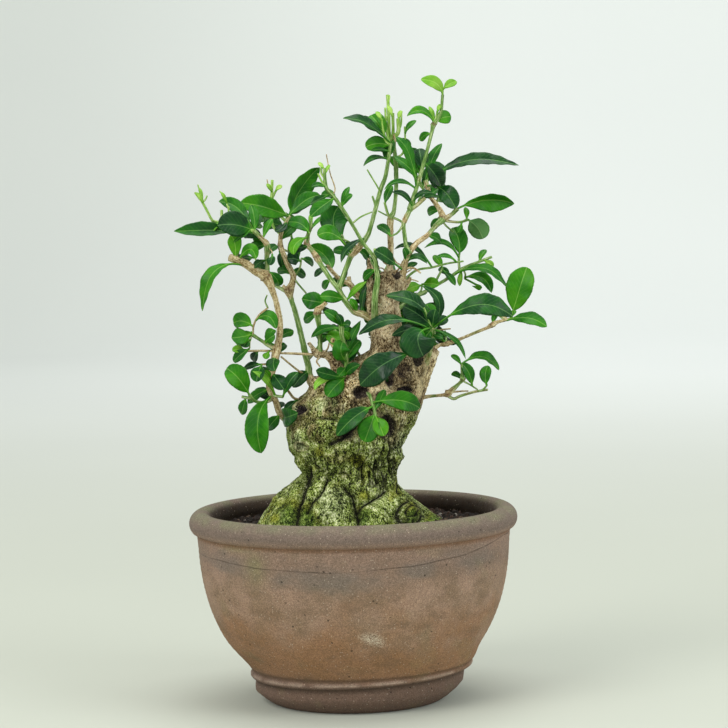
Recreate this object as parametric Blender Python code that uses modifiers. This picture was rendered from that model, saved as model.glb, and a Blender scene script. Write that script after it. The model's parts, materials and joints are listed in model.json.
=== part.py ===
"""Spindle tree bonsai: an old stump with cut-back branches and glossy oval leaves, planted in
an unglazed round pot. Sizes below are in millimetres; the solids are in metres, +Z up."""

import math

import bmesh
import bpy
from mathutils import Matrix, Vector

MM = 0.001
GAP = 0.3  # clearance that every two touching pieces keep
TRUNK_GAP = 0.42  # how far the copy of the trunk that cuts its neighbours stands out
WALL_GAP = 0.48  # soil to pot wall, both many-sided

# The elevation: x and z of stems and leaves are drawn on the upright plane through the pot's
# axis, as seen from this eye point, and a depth behind that plane moves a point along its
# sight line. Negative depths are on the viewer's side.
EYE = Vector((0.0, -1500.0, 287.2))
POT_AXIS = Vector((-7.9, 0.0, 0.0))  # the frame's origin is under the middle of the whole plant

# Pot: thrown bowl with a rolled rim, a ridge above a sloping foot ring and one drain hole.
TURN_STEPS = 44
RIM_RADIUS = 83.4
RIM_ROLL = 6.6
RIM_HEIGHT = 99.3
RIM_ARC = (202.5, -45.0)  # degrees, from the inside over the top
RIM_ARC_STEPS = 11
OUTER_WALL = (  # radius, height
    (86.2, 94.0), (85.4, 88.0), (84.5, 76.0), (82.6, 64.0), (79.0, 51.0), (73.4, 38.3),
    (66.4, 27.6), (60.2, 19.4), (60.4, 17.0), (57.8, 14.6), (57.3, 8.6),
)
FOOT_OUTER = 46.8
FOOT_INNER = 38.5
FOOT_RECESS = 7.0
FLOOR_TOP = 16.0
DRAIN_RADIUS = 8.0
INNER_WALL = (
    (50.0, 16.0), (58.0, 20.0), (66.0, 30.5), (72.4, 43.0), (76.2, 58.0), (77.9, 73.0),
    (78.3, 88.0),
)

# Soil: fills the pot to about 10 mm under the rim, higher round the roots.
SOIL_TOP = ((0.0, 97.6), (45.0, 97.0), (66.0, 95.8), (77.0, 95.0))
SCREEN_POCKET = (22.0, 20.0)  # radius, height of the soil over the drain screen

# Drain screen and its tie wire, under the soil.
SCREEN_RADIUS = 20.0
SCREEN_THICK = 1.2
SCREEN_SIDES = 36
SCREEN_HOLE = 1.6
SCREEN_HOLE_SIDES = 8
SCREEN_HOLE_RINGS = ((5.0, 6), (10.5, 12), (16.0, 16))  # ring radius, holes round it
WIRE_RADIUS = 0.8
WIRE_ARM = 22.0
WIRE_BEND = 1.5

# Trunk: height, left edge, right edge, depth at half width. The lowest rows are in the soil.
TRUNK_ROWS = (
    (80.0, -44.0, 40.0, 34.0), (90.0, -51.0, 46.0, 40.0), (97.0, -53.0, 48.0, 42.0),
    (104.0, -48.5, 37.5, 36.0), (111.0, -43.5, 31.0, 31.0), (118.0, -35.0, 26.0, 27.0),
    (125.0, -28.5, 25.0, 24.0), (133.0, -31.0, 27.0, 25.0), (141.0, -35.0, 28.5, 27.0),
    (150.0, -36.0, 33.0, 28.5), (158.0, -33.5, 38.0, 28.0), (166.0, -28.5, 40.8, 26.0),
    (174.0, -22.5, 43.0, 24.0), (181.0, -11.0, 44.6, 20.5), (187.0, 4.0, 43.0, 16.5),
    (193.0, 11.2, 32.5, 12.5), (203.0, 11.7, 29.5, 11.0), (213.0, 10.6, 29.0, 11.0),
    (222.0, 11.5, 30.5, 11.5), (230.0, 13.5, 32.5, 11.5), (234.5, 17.5, 30.0, 8.5),
)
TRUNK_SIDES = 26
ROOT_LOBES = 5
ROOT_LOBE_HEIGHT = 112.0  # root lobes fade out above this height
ROOT_LOBE_FADE = 20.0
ROOT_LOBE_DEPTH = 0.1  # share of the trunk's half width

# Stubs of cut branches, old wood that is one piece with the trunk: x, z, depth, radius.
STUBS = {
    "spur_right": ((36, 176, 0, 8.0), (42, 184, 0, 5.4), (46, 189, 0, 3.6), (48, 191.5, 0, 2.6)),
    "stub_left": (
        (0, 168, -4, 6.0), (-4.5, 178, -5, 4.6), (-8.5, 186, -6, 3.4), (-12.5, 190, -6, 2.7),
        (-18, 190.6, -6, 2.2), (-20, 193, -7, 1.5), (-22.3, 196.8, -8, 1.1),
    ),
    "stub_top": (
        (16, 205, -3, 3.0), (12.4, 214, -5, 2.1), (12, 222, -6, 1.9), (12, 230, -6, 1.9),
        (12.4, 236.5, -6, 2.2), (11.7, 242.4, -6, 0.8),
    ),
}

# Stems that grow out of the trunk. The first points lie inside it and are cut away.
TRUNK_STEMS = {
    "branch_left_low": (
        (-24, 149, 4, 2.4), (-34, 154, 1, 2.0), (-38.6, 158, -2, 1.8), (-41, 165, -5, 1.7),
        (-44.3, 173, -8, 1.8), (-42.3, 182, -9, 1.8), (-40.3, 190.5, -8, 2.3),
        (-38.3, 199, -6, 1.9), (-37.6, 205.5, -5, 1.7), (-38, 212, -5, 1.6),
        (-39.4, 219.5, -6, 1.5), (-40.8, 224.5, -7, 1.6), (-44.6, 233.3, -9, 2.8),
        (-50, 236.5, -12, 2.3), (-56, 241, -16, 2.2), (-64, 244.4, -21, 2.1),
    ),
    "branch_left": (
        (-16, 168, 2, 3.0), (-21.8, 177, 2, 2.3), (-22.6, 184, 3, 1.8), (-24, 190.2, 4, 1.8),
        (-25.7, 198.7, 6, 1.6), (-27.5, 207, 8, 1.5), (-29.4, 215, 10, 1.4),
        (-31.3, 221.3, 12, 1.5), (-32, 225.5, 13, 2.4), (-30.4, 229.4, 14, 1.8),
        (-29.8, 234, 15, 1.6), (-32.5, 240, 17, 1.6), (-35.6, 248.5, 21, 1.3),
        (-36.2, 255, 24, 1.2), (-34, 261, 26, 1.1), (-31, 266.5, 28, 1.0),
    ),
    "stem_left_cut": (
        (-15.8, 190.6, -6, 1.3), (-15.9, 194, -6, 1.3), (-15.8, 198, -7, 1.3),
        (-16.3, 206, -9, 1.3), (-17, 213.5, -11, 2.1), (-14.6, 216.2, -12, 1.4),
        (-12, 218.6, -13, 1.1),
    ),
    "stem_front_left": (
        (-1.2, 174, -10, 1.6), (-1.7, 184, -14, 1.3), (-2, 193.6, -17, 1.2),
        (-3.8, 200, -19, 1.2), (-4, 205.8, -21, 1.6),
    ),
    "stem_diagonal": (
        (14.6, 208, -5, 2.0), (14.4, 216, -12.5, 1.8), (15, 223, -14.5, 1.7),
        (16.3, 230, -15, 1.5), (15.8, 236, -16, 1.2), (15, 242, -17, 1.2),
        (8.7, 251, -20, 1.0), (3, 261.3, -25, 0.95), (-2.5, 270.3, -29, 1.1),
        (-7, 277, -32, 1.0), (-10.6, 281.5, -34, 1.1), (-11.5, 292, -35, 0.8),
    ),
    "branch_top_left": (
        (15, 211, 2, 2.0), (9.6, 217, 3, 1.6), (4.1, 224, 4, 1.4), (1.2, 228.3, 5, 1.6),
        (-3.7, 230.7, 7, 1.2), (-7.4, 234.5, 9, 1.1), (-11.3, 239, 10, 1.0),
    ),
    "stem_left_long": (
        (16, 207, -2, 2.0), (8, 211.6, -5, 2.0), (3, 213.5, -6, 1.8), (-2.3, 220.5, -6, 1.6),
        (-5.1, 225.6, -5, 1.4), (-9.2, 231.2, -3, 1.3), (-13.3, 237.6, -1, 1.3),
        (-16.7, 243.4, 1, 1.7), (-19.4, 247.6, 2, 1.3), (-21.8, 251, 3, 1.7),
        (-21, 256, 4, 1.1), (-19.8, 260, 5, 1.2), (-19, 265, 6, 0.7),
    ),
    "stem_center": (
        (22.5, 226, 1, 2.0), (23.4, 236, 2, 1.7), (23.9, 248, 2, 1.6), (24, 263, 2, 1.8),
        (26, 267.5, 2, 1.2), (27.5, 279, 2, 1.1), (27.7, 292.5, 2, 1.3), (27, 303, 2, 1.0),
        (27.6, 309.5, 2, 1.3),
    ),
    "stem_right": (
        (28.6, 228, -4, 2.0), (31.5, 238.8, -7, 1.6), (33.4, 243.6, -8, 2.1),
        (32.2, 249.6, -8, 1.2), (31.2, 259.5, -9, 1.2), (31.8, 262.3, -9, 1.5),
        (34.4, 267.5, -10, 1.3), (35.2, 269.2, -10, 1.8), (38.7, 280, -11, 1.1),
        (40.1, 285.3, -12, 1.4),
    ),
    "branch_right_lateral": (
        (25, 213, 5, 1.6), (31, 217.5, 8, 1.2), (35.5, 220, 10, 1.1), (48, 226.5, 15, 0.95),
        (56, 231, 18, 0.95), (63, 235.5, 20, 0.95), (72, 239, 22, 0.85), (79, 241.5, 24, 0.75),
    ),
    "branch_right_mid": (
        (44, 190, 2, 1.6), (49, 193.6, 3, 1.0), (53.1, 194.3, 2, 1.3), (61.5, 197.2, 0, 0.85),
        (70, 200.6, -3, 0.85), (75.5, 202.6, -5, 0.9), (78.7, 204.5, -6, 1.5),
        (82.3, 206, -7, 0.9), (89, 207.4, -9, 0.8),
    ),
    "branch_right_low": (
        (35, 164.6, 0, 1.6), (42, 165.7, -2, 1.0), (50.8, 166.4, -4, 0.95),
        (53.7, 167.3, -5, 1.7), (60.3, 173, -7, 0.9), (61.6, 174.8, -7, 1.4),
        (61.4, 178.6, -8, 0.75), (61.4, 183.4, -8, 0.7),
    ),
    "stem_front_right": (
        (40, 180, -4, 2.4), (43.4, 188, -13, 1.5), (45, 195, -20, 1.3), (46, 203.8, -26, 1.7),
    ),
    "twig_trunk_front": (
        (9.5, 169, -21, 1.2), (11, 166, -30, 0.9), (12.6, 160.5, -33, 0.85),
        (13.7, 155.3, -34, 0.9),
    ),
}

# Stems that grow out of another stem: its name, then the route from the point they leave.
SIDE_STEMS = {
    "stem_left_top": ("branch_left_low", (
        (-44.4, 233.6, -9, 1.4), (-43.7, 238, -7, 1.3), (-43.9, 243.5, -8, 1.3),
        (-43.6, 250.6, -11, 1.8), (-46, 254, -14, 1.2), (-50.6, 258.6, -18, 1.2),
    )),
    "twig_left_low": ("branch_left_low", (
        (-41.6, 166.6, -5, 0.9), (-47, 164.6, -8, 0.9), (-52, 165.3, -10, 0.9),
        (-55.4, 169, -12, 0.9),
    )),
    "twig_left_mid": ("branch_left_low", (
        (-39.6, 194, -7, 1.0), (-44, 195.6, -10, 1.0), (-48, 198.6, -12, 0.9),
        (-53, 202, -14, 1.1),
    )),
    "stem_left_riser": ("stem_left_long", (
        (-4.7, 225.8, -5, 1.4), (-2, 233.7, -4, 1.4), (0, 238.8, -3, 1.4), (2, 243.5, -3, 1.6),
        (5.4, 247.2, -3, 2.0), (11.3, 254.6, -5, 1.4), (14, 262, -6, 1.2),
        (18.9, 279, -6, 1.2), (22.1, 287.6, -5, 1.1), (25.2, 304.6, -4, 1.0),
    )),
    "stem_right_tall": ("stem_right", (
        (40.1, 284.9, -12, 1.0), (44, 297, -13, 1.0), (47.5, 309.5, -14, 1.0),
        (48.9, 314.6, -14, 1.3), (52.7, 320.5, -14, 0.9), (54, 330.4, -14, 0.8),
    )),
    "stem_right_fork": ("stem_right", (
        (33.2, 243.8, -8, 1.3), (38, 249.8, -4, 1.5), (43.9, 254, 2, 1.3), (48.5, 259, 7, 1.3),
        (52.4, 262.8, 11, 2.0), (51.4, 267.6, 14, 1.5), (46.2, 275.5, 17, 1.1),
        (43.8, 284, 19, 1.4),
    )),
    "twig_right_top": ("stem_right_fork", (
        (52.5, 263, 11, 1.0), (57.5, 265.2, 10, 1.1), (60.8, 268.3, 9, 1.3),
    )),
    "twig_right_mid": ("stem_right_fork", (
        (52.5, 262, 11, 0.7), (61.5, 260.9, 14, 0.7), (66.4, 262.2, 15, 0.9),
    )),
}

# Leaves: stem, then x and z of the base, middle and tip, how far the tip and then the middle lie
# behind the base, blade width, how far its upper side leans away in degrees, petiole's share.
LEAVES = {
    "leaf_left_far": (
        "stem_left_top", (-50.5, 258), (-71, 259.4), (-94, 260.3), -10, 0, 8.5, 25, 0.3,
    ),
    "leaf_left_back": (
        "stem_left_top", (-50.6, 258.6), (-59, 271), (-68.6, 275.6), 10, 6, 8.5, 30, 0.12,
    ),
    "leaf_left_broad": (
        "branch_left", (-31, 266), (-44, 271.3), (-57.5, 274.6), -16, -3, 12.5, 18, 0.08,
    ),
    "leaf_left_tall": (
        "branch_left", (-31, 266.5), (-24.8, 280.4), (-14, 291.6), 8, 6, 9.5, -30, 0.1,
    ),
    "leaf_left_hanging": (
        "branch_left_low", (-57, 240), (-73, 236.6), (-81.5, 215), -18, -10, 8.5, 40, 0.2,
    ),
    "leaf_low_left_round": (
        "twig_left_low", (-55.4, 169), (-61, 178), (-67.6, 184.2), -6, -3, 12.0, 15, 0.08,
    ),
    "leaf_low_left_folded": (
        "branch_left_low", (-42.6, 168.5), (-52, 156), (-49.7, 136.8), -14, -5, 11.0, 20, 0.1,
    ),
    "leaf_mid_left": (
        "twig_left_mid", (-53, 202), (-58.6, 200.9), (-64, 200.6), -6, 0, 9.5, 20, 0.15,
    ),
    "leaf_center_dark": (
        "stem_left_riser", (3.4, 245.4), (-6.6, 259.4), (-4, 270.4), 10, 6, 14.5, 10, 0.4,
    ),
    "leaf_center_level": (
        "stem_left_riser", (2.6, 244.4), (-6.6, 255.6), (-16.5, 255.6), -9, -4, 9.5, 25, 0.35,
    ),
    "leaf_center_left": (
        "branch_top_left", (-8.4, 235.6), (-12, 244), (-20, 249.5), 8, 5, 10.0, 20, 0.1,
    ),
    "leaf_cut_stem": (
        "stem_left_cut", (-12, 218.6), (-18.4, 219.4), (-24.8, 221), 8, 5, 10.0, 15, 0.1,
    ),
    "leaf_top_young": (
        "stem_right_tall", (54, 330.4), (50.6, 336.6), (42.3, 339.3), -6, -2, 7.0, 25, 0.12,
    ),
    "leaf_top_long": (
        "stem_left_riser", (25.2, 304.6), (12.6, 315.4), (-0.5, 320), -8, -3, 8.0, 55, 0.12,
    ),
    "leaf_right_upright": (
        "stem_right", (38.6, 280.5), (35, 298.6), (28.3, 309.3), -8, -4, 8.0, 45, 0.15,
    ),
    "leaf_right_wide": (
        "stem_right_fork", (43.8, 284), (49.6, 288), (55, 289.8), 14, 4, 12.0, 20, 0.1,
    ),
    "leaf_right_long": (
        "stem_right_fork", (44, 283), (66.5, 295.6), (95.2, 293.2), -12, 0, 9.5, 42, 0.15,
    ),
    "leaf_right_drooping": (
        "stem_right_fork", (44.4, 281), (53, 276.2), (60.6, 268.4), -22, -6, 9.5, 15, 0.15,
    ),
    "leaf_right_twisted": (
        "twig_right_top", (60.8, 268.3), (76, 272), (91.6, 269.6), 6, 2, 9.0, 35, 0.12,
    ),
    "leaf_right_under": (
        "twig_right_mid", (66.4, 262.2), (71.6, 257.6), (74.6, 251.4), 6, 2, 11.5, -15, 0.1,
    ),
    "leaf_crown_front": (
        "stem_right", (30.4, 235.4), (22, 242.2), (15.2, 247.2), -14, -4, 8.5, 30, 0.25,
    ),
    "leaf_big_right": (
        "stem_front_right", (46, 203), (70, 215.4), (91.5, 209.2), -16, -8, 13.0, 30, 0.2,
    ),
    "leaf_end_upright": (
        "branch_right_mid", (89, 207.4), (93.4, 222), (97.8, 235.8), -4, -2, 15.0, 15, 0.16,
    ),
    "leaf_end_level": (
        "branch_right_mid", (86.6, 206.6), (98.4, 207.6), (109.2, 203.2), -10, -3, 9.0, 40, 0.12,
    ),
    "leaf_lateral_arched": (
        "branch_right_lateral", (58.5, 232.4), (74.6, 235.4), (88, 225.6), -8, -3, 8.0, 52, 0.12,
    ),
    "leaf_front_hanging": (
        "stem_front_right", (46, 203.4), (38, 199.2), (40.6, 187.4), -12, -6, 19.5, 8, 0.28,
    ),
    "leaf_front_left": (
        "stem_front_right", (45.6, 202), (24.5, 208.4), (4, 201.4), -4, -6, 8.5, 40, 0.3,
    ),
    "leaf_front_upper": (
        "stem_front_right", (46, 203.8), (37.6, 217), (20.4, 222.6), 2, -3, 8.5, 35, 0.25,
    ),
    "leaf_low_right_arched": (
        "branch_right_low", (61.4, 183.2), (72.6, 186.9), (82.6, 180), 8, 3, 8.0, 50, 0.15,
    ),
    "leaf_trunk_broad": (
        "stem_front_right", (44.4, 191), (23, 187), (6.4, 171.6), -20, -14, 12.5, 15, 0.3,
    ),
    "leaf_trunk_left": (
        "stem_front_left", (-1.8, 186), (-4.6, 191.4), (-2.8, 197.4), -10, -8, 10.0, 15, 0.15,
    ),
    "leaf_trunk_low": (
        "twig_trunk_front", (12.4, 161), (2, 155.4), (-8.6, 145.2), -4, -3, 9.5, 15, 0.12,
    ),
    "leaf_trunk_right": (
        "twig_trunk_front", (11.8, 163), (27, 164), (39, 159), 0, -6, 10.5, 10, 0.15,
    ),
}
STEP_OUT = 0.05  # a side stem or leaf moves out by this much until it clears its parent
MOST_STEPS = 200
END_POINTS = 8
DEPTH_STEPS = 5
LEAF_ROWS = 8
LEAF_THICK = 0.8
PETIOLE_WIDTH = 1.2
TIP_WIDTH = 0.7
WIDEST = 1.1  # over 1 puts the blade's widest place past its middle
FULLNESS = 0.8  # under 1 fills the oval out

SHARP_ANGLE = math.radians(40)

COLORS = {  # base colour, roughness
    "stoneware": ((0.22, 0.17, 0.14), 0.85),
    "soil": ((0.035, 0.025, 0.018), 0.95),
    "plastic": ((0.03, 0.03, 0.035), 0.6),
    "wire": ((0.55, 0.55, 0.57), 0.4),
    "bark": ((0.30, 0.27, 0.14), 0.9),
    "stem": ((0.24, 0.34, 0.12), 0.6),
    "leaf": ((0.04, 0.16, 0.03), 0.35),
}


def clear_scene():
    for old in list(bpy.data.objects):
        bpy.data.objects.remove(old, do_unlink=True)


def new_collection(name):
    made = bpy.data.collections.new(name)
    bpy.context.scene.collection.children.link(made)
    return made


def material(name, finish):
    color, roughness = COLORS[finish]
    made = bpy.data.materials.new(name)
    made.use_nodes = True
    shader = made.node_tree.nodes["Principled BSDF"]
    shader.inputs["Base Color"].default_value = (*color, 1.0)
    shader.inputs["Roughness"].default_value = roughness
    shader.inputs["Metallic"].default_value = 1.0 if finish == "wire" else 0.0
    return made


def add_object(name, data, collection, finish=None):
    made = bpy.data.objects.new(name, data)
    collection.objects.link(made)
    if finish:
        data.materials.append(material(name + "_material", finish))
    return made


def drawn(x, z, depth):
    """The point at this depth that the elevation shows at x, z."""
    flat = Vector((x, 0.0, z))
    return flat + (flat - EYE) * (depth / -EYE.y)


def placed(point):
    """A point of the drawing, in millimetres about the pot's axis, in metres in the frame."""
    return (point + POT_AXIS) * MM


def hide_as_cutter(made):
    made.hide_render = True
    made.display_type = "WIRE"


def cut(piece, cutter):
    boolean = piece.modifiers.new("cut_" + cutter.name, "BOOLEAN")
    boolean.operation = "DIFFERENCE"
    boolean.solver = "EXACT"
    boolean.object = cutter


def turned(name, profile, collection, finish):
    """A closed profile of radius and height, spun about the pot's axis."""
    mesh = bpy.data.meshes.new(name)
    corners = [Vector((radius * MM, 0.0, height * MM)) for radius, height in profile]
    edges = [(i, (i + 1) % len(corners)) for i in range(len(corners))]
    if profile[0][0] == 0.0:
        edges.pop()
    mesh.from_pydata(corners, edges, [])
    made = add_object(name, mesh, collection, finish)
    made.location = POT_AXIS * MM
    spin = made.modifiers.new("turn", "SCREW")
    spin.steps = TURN_STEPS
    spin.render_steps = TURN_STEPS
    spin.use_merge_vertices = True
    spin.merge_threshold = 0.00001
    return made


def rim_arc():
    start, end = RIM_ARC
    points = []
    for i in range(RIM_ARC_STEPS + 1):
        angle = math.radians(start + (end - start) * i / RIM_ARC_STEPS)
        radius = RIM_RADIUS + RIM_ROLL * math.cos(angle)
        points.append((radius, RIM_HEIGHT + RIM_ROLL * math.sin(angle)))
    return points


def make_pot(collection):
    foot = [
        (FOOT_OUTER, 0.0), (FOOT_INNER, 0.0), (FOOT_INNER, FOOT_RECESS),
        (DRAIN_RADIUS, FOOT_RECESS), (DRAIN_RADIUS, FLOOR_TOP),
    ]
    profile = rim_arc() + list(OUTER_WALL) + foot + list(INNER_WALL)
    return turned("pot", profile, collection, "stoneware")


def make_soil(collection, trunk_cutter):
    """The inside of the pot less the clearance, with a pocket over the screen and wire."""
    wall = [(radius - WALL_GAP, height + GAP) for radius, height in reversed(INNER_WALL)]
    floor = FLOOR_TOP + GAP
    pocket_radius, pocket_top = SCREEN_POCKET
    bottom = [(pocket_radius, floor), (pocket_radius, pocket_top), (0.0, pocket_top)]
    soil = turned("soil", [*SOIL_TOP, *wall, *bottom], collection, "soil")
    cut(soil, trunk_cutter)
    return soil


def cylinder(name, radius, low, high, x, y, collection, sides):
    mesh = bpy.data.meshes.new(name)
    shape = bmesh.new()
    bmesh.ops.create_cone(
        shape, cap_ends=True, segments=sides, radius1=radius * MM, radius2=radius * MM,
        depth=(high - low) * MM,
    )
    shape.to_mesh(mesh)
    shape.free()
    made = add_object(name, mesh, collection)
    made.location = placed(Vector((x, y, (low + high) / 2)))
    return made


def make_screen(collection, cutters):
    low = FLOOR_TOP + GAP
    screen = cylinder(
        "drain_screen", SCREEN_RADIUS, low, low + SCREEN_THICK, 0, 0, collection, SCREEN_SIDES
    )
    screen.data.materials.append(material("drain_screen_material", "plastic"))
    for ring, (radius, count) in enumerate(SCREEN_HOLE_RINGS):
        for i in range(count):
            angle = 2 * math.pi * i / count
            hole = cylinder(
                f"screen_hole_{ring}_{i}", SCREEN_HOLE, low - 1, low + SCREEN_THICK + 1,
                radius * math.cos(angle), radius * math.sin(angle), cutters,
                SCREEN_HOLE_SIDES,
            )
            hide_as_cutter(hole)
            cut(screen, hole)
    return screen


def make_wire(collection):
    """A staple of wire through two holes of the screen, its ends bent out under the pot."""
    leg = SCREEN_HOLE_RINGS[0][0]
    under = FOOT_RECESS - GAP - WIRE_RADIUS
    over = FLOOR_TOP + GAP + SCREEN_THICK + GAP + WIRE_RADIUS
    route = []
    for x, z in (
        (-WIRE_ARM, under), (-leg - WIRE_BEND, under), (-leg, under + WIRE_BEND),
        (-leg, over - WIRE_BEND), (-leg + WIRE_BEND, over), (leg - WIRE_BEND, over),
        (leg, over - WIRE_BEND), (leg, under + WIRE_BEND), (leg + WIRE_BEND, under),
        (WIRE_ARM, under),
    ):
        route.append(placed(Vector((x, 0.0, z))))
    return tube("screen_wire", route, [WIRE_RADIUS] * len(route), collection, "wire")


def tube(name, points, radii, collection, finish):
    """A stem or wire as a curve with filled caps, thickness in millimetres at each point."""
    curve = bpy.data.curves.new(name, "CURVE")
    curve.dimensions = "3D"
    curve.bevel_depth = MM
    curve.bevel_resolution = 2
    curve.use_fill_caps = True
    spline = curve.splines.new("POLY")
    spline.points.add(len(points) - 1)
    for target, point, radius in zip(spline.points, points, radii):
        target.co = (*point, 1.0)
        target.radius = radius
    return add_object(name, curve, collection, finish)


def tube_mesh(name, points, radii, collection, finish=None):
    """The same tube as a mesh with its caps welded on, for a Boolean."""
    guide = tube(name + "_guide", points, radii, collection, None)
    bpy.context.view_layer.update()
    evaluated = guide.evaluated_get(bpy.context.evaluated_depsgraph_get())
    mesh = bpy.data.meshes.new_from_object(evaluated)
    shape = bmesh.new()
    shape.from_mesh(mesh)
    bmesh.ops.remove_doubles(shape, verts=shape.verts, dist=0.000001)
    shape.to_mesh(mesh)
    shape.free()
    mesh.name = name
    mesh.shade_smooth()
    mesh.set_sharp_from_angle(angle=SHARP_ANGLE)
    made = add_object(name, mesh, collection, finish)
    made.matrix_world = guide.matrix_world
    bpy.data.objects.remove(guide)
    return made


def route_of(points):
    return [drawn(x, z, depth) for x, z, depth, _ in points]


def trunk_ring(row, grow):
    """One level section of the trunk: an ellipse with root lobes near the soil."""
    height, left, right, depth = row
    lobes = max(0.0, min(1.0, (ROOT_LOBE_HEIGHT - height) / ROOT_LOBE_FADE)) * ROOT_LOBE_DEPTH
    ring = []
    for i in range(TRUNK_SIDES):
        angle = 2 * math.pi * i / TRUNK_SIDES
        swell = 1.0 + lobes * (math.cos(ROOT_LOBES * angle) - 1.0) * math.sin(angle) ** 2
        across = (right - left) / 2 * swell + grow
        along = depth * swell + grow
        x = (left + right) / 2 + across * math.cos(angle)
        ring.append(Vector((x, along * math.sin(angle), height)))
    return ring


def trunk_shell(name, grow, collection):
    """The trunk's sections joined by side faces and closed by its lowest and top sections."""
    mesh = bpy.data.meshes.new(name)
    shape = bmesh.new()
    rings = []
    for index, row in enumerate(TRUNK_ROWS):
        lift = -grow if index == 0 else grow if row is TRUNK_ROWS[-1] else 0.0
        ring = trunk_ring(row, grow)
        rings.append([shape.verts.new(placed(p + Vector((0, 0, lift)))) for p in ring])
    for low, high in zip(rings, rings[1:]):
        for i in range(TRUNK_SIDES):
            j = (i + 1) % TRUNK_SIDES
            shape.faces.new((low[i], low[j], high[j], high[i]))
    shape.faces.new(rings[0][::-1])
    shape.faces.new(rings[-1])
    bmesh.ops.recalc_face_normals(shape, faces=shape.faces)
    shape.to_mesh(mesh)
    shape.free()
    mesh.shade_smooth()
    return add_object(name, mesh, collection)


def old_wood(name, grow, collection, cutters):
    """The trunk with the stubs of its cut branches joined on, grown outwards by grow."""
    body = trunk_shell(name, grow, collection)
    for stub, points in STUBS.items():
        route = [placed(point) for point in route_of(points)]
        radii = [radius + grow for *_, radius in points]
        if grow:
            last = (route[-1] - route[-2]).normalized()
            route[-1] += last * grow * MM
        joined = tube_mesh(f"{name}_{stub}", route, radii, cutters)
        hide_as_cutter(joined)
        union = body.modifiers.new("join_" + stub, "BOOLEAN")
        union.operation = "UNION"
        union.solver = "EXACT"
        union.object = joined
    return body


def clearance(point, parent):
    """How far a point lies outside a stem, whose segments are cones with flat ends."""
    points, radii = parent
    least = math.inf
    for a, b, ra, rb in zip(points, points[1:], radii, radii[1:]):
        along = (b - a).normalized()
        length = (b - a).length
        reach = (point - a).dot(along)
        inside = max(0.0, min(length, reach))
        out = (point - a - along * reach).length - ra - (rb - ra) * inside / length
        if reach == inside:
            least = min(least, out)
        else:
            least = min(least, math.hypot(reach - inside, max(0.0, out)))
    return least


def leave(parent, first, second, radius):
    """Where a side stem of this radius, drawn from first to second, clears its parent."""
    points, _ = parent
    spots = []
    for a, b in zip(points, points[1:]):
        share = (first - a).dot(b - a) / (b - a).length_squared
        spots.append(a.lerp(b, max(0.0, min(1.0, share))))
    start = min(spots, key=lambda spot: (spot - first).length)
    way = (second - start).normalized()
    across = way.orthogonal().normalized() * radius
    end_face = [Vector()]
    for i in range(END_POINTS):
        turn = Matrix.Rotation(2 * math.pi * i / END_POINTS, 3, way)
        end_face.append(turn @ across)
    for _ in range(MOST_STEPS):
        if min(clearance(start + edge, parent) for edge in end_face) >= GAP:
            break
        start += way * STEP_OUT
    return start


def make_stems(collection, trunk_cutter):
    """Every stem, and a table of their routes and radii that leaves are seated on."""
    table = {}
    for name, points in TRUNK_STEMS.items():
        route = route_of(points)
        radii = [radius for *_, radius in points]
        stem = tube_mesh(name, [placed(p) for p in route], radii, collection, "stem")
        cut(stem, trunk_cutter)
        table[name] = (route, radii)
    for name, (parent, points) in SIDE_STEMS.items():
        route = route_of(points)
        radii = [radius for *_, radius in points]
        route[0] = leave(table[parent], route[0], route[1], radii[0])
        tube(name, [placed(p) for p in route], radii, collection, "stem")
        table[name] = (route, radii)
    return table


def nearest_depth(stem, x, z):
    """The depth of the stem's route where the elevation shows it nearest to x, z."""
    points, _ = stem
    spots = []
    for a, b in zip(points, points[1:]):
        for step in range(DEPTH_STEPS + 1):
            spots.append(a.lerp(b, step / DEPTH_STEPS))
    return min(spots, key=lambda spot: (drawn(x, z, spot.y) - spot).length).y


def blade_width(share, petiole, width):
    """Width of the leaf at this share of its length: a thin petiole, then an oval blade."""
    if share <= petiole:
        return PETIOLE_WIDTH
    along = (share - petiole) / (1.0 - petiole)
    oval = max(0.0, math.sin(math.pi * along ** WIDEST)) ** FULLNESS
    return max(TIP_WIDTH, width * oval)


def make_leaf(name, leaf, stems, collection):
    """A leaf as a thin sheet along its midrib, given thickness by Solidify."""
    stem, base, middle, tip, tip_depth, belly, width, turn, petiole = leaf
    depth = nearest_depth(stems[stem], *base)
    start = drawn(*base, depth)
    end = drawn(*tip, depth + tip_depth)
    through = drawn(*middle, depth + tip_depth / 2 + belly)
    handle = through * 2 - (start + end) / 2
    start = leave(stems[stem], start, handle, PETIOLE_WIDTH / 2)
    angle = math.radians(turn)
    upward = -1.0 if (end - start).cross(through - EYE).z < 0 else 1.0
    shape = bmesh.new()
    rows = []
    for i in range(LEAF_ROWS + 1):
        share = i / LEAF_ROWS
        middle_point = start * (1 - share) ** 2 + handle * 2 * share * (1 - share) + end * share ** 2
        along = ((handle - start) * (1 - share) + (end - handle) * share).normalized()
        sight = (middle_point - EYE).normalized()
        across = along.cross(sight).normalized()
        away = across.cross(along)
        side = across * upward * math.cos(angle) + away * math.sin(angle)
        half = side * (blade_width(share, petiole, width) / 2)
        rows.append([
            shape.verts.new(placed(middle_point + half * k)) for k in (-1.0, 0.0, 1.0)
        ])
    for low, high in zip(rows, rows[1:]):
        for i in range(2):
            shape.faces.new((low[i], low[i + 1], high[i + 1], high[i]))
    mesh = bpy.data.meshes.new(name)
    shape.to_mesh(mesh)
    shape.free()
    mesh.shade_smooth()
    made = add_object(name, mesh, collection, "leaf")
    thick = made.modifiers.new("thickness", "SOLIDIFY")
    thick.thickness = LEAF_THICK * MM
    thick.offset = 0.0
    return made


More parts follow.
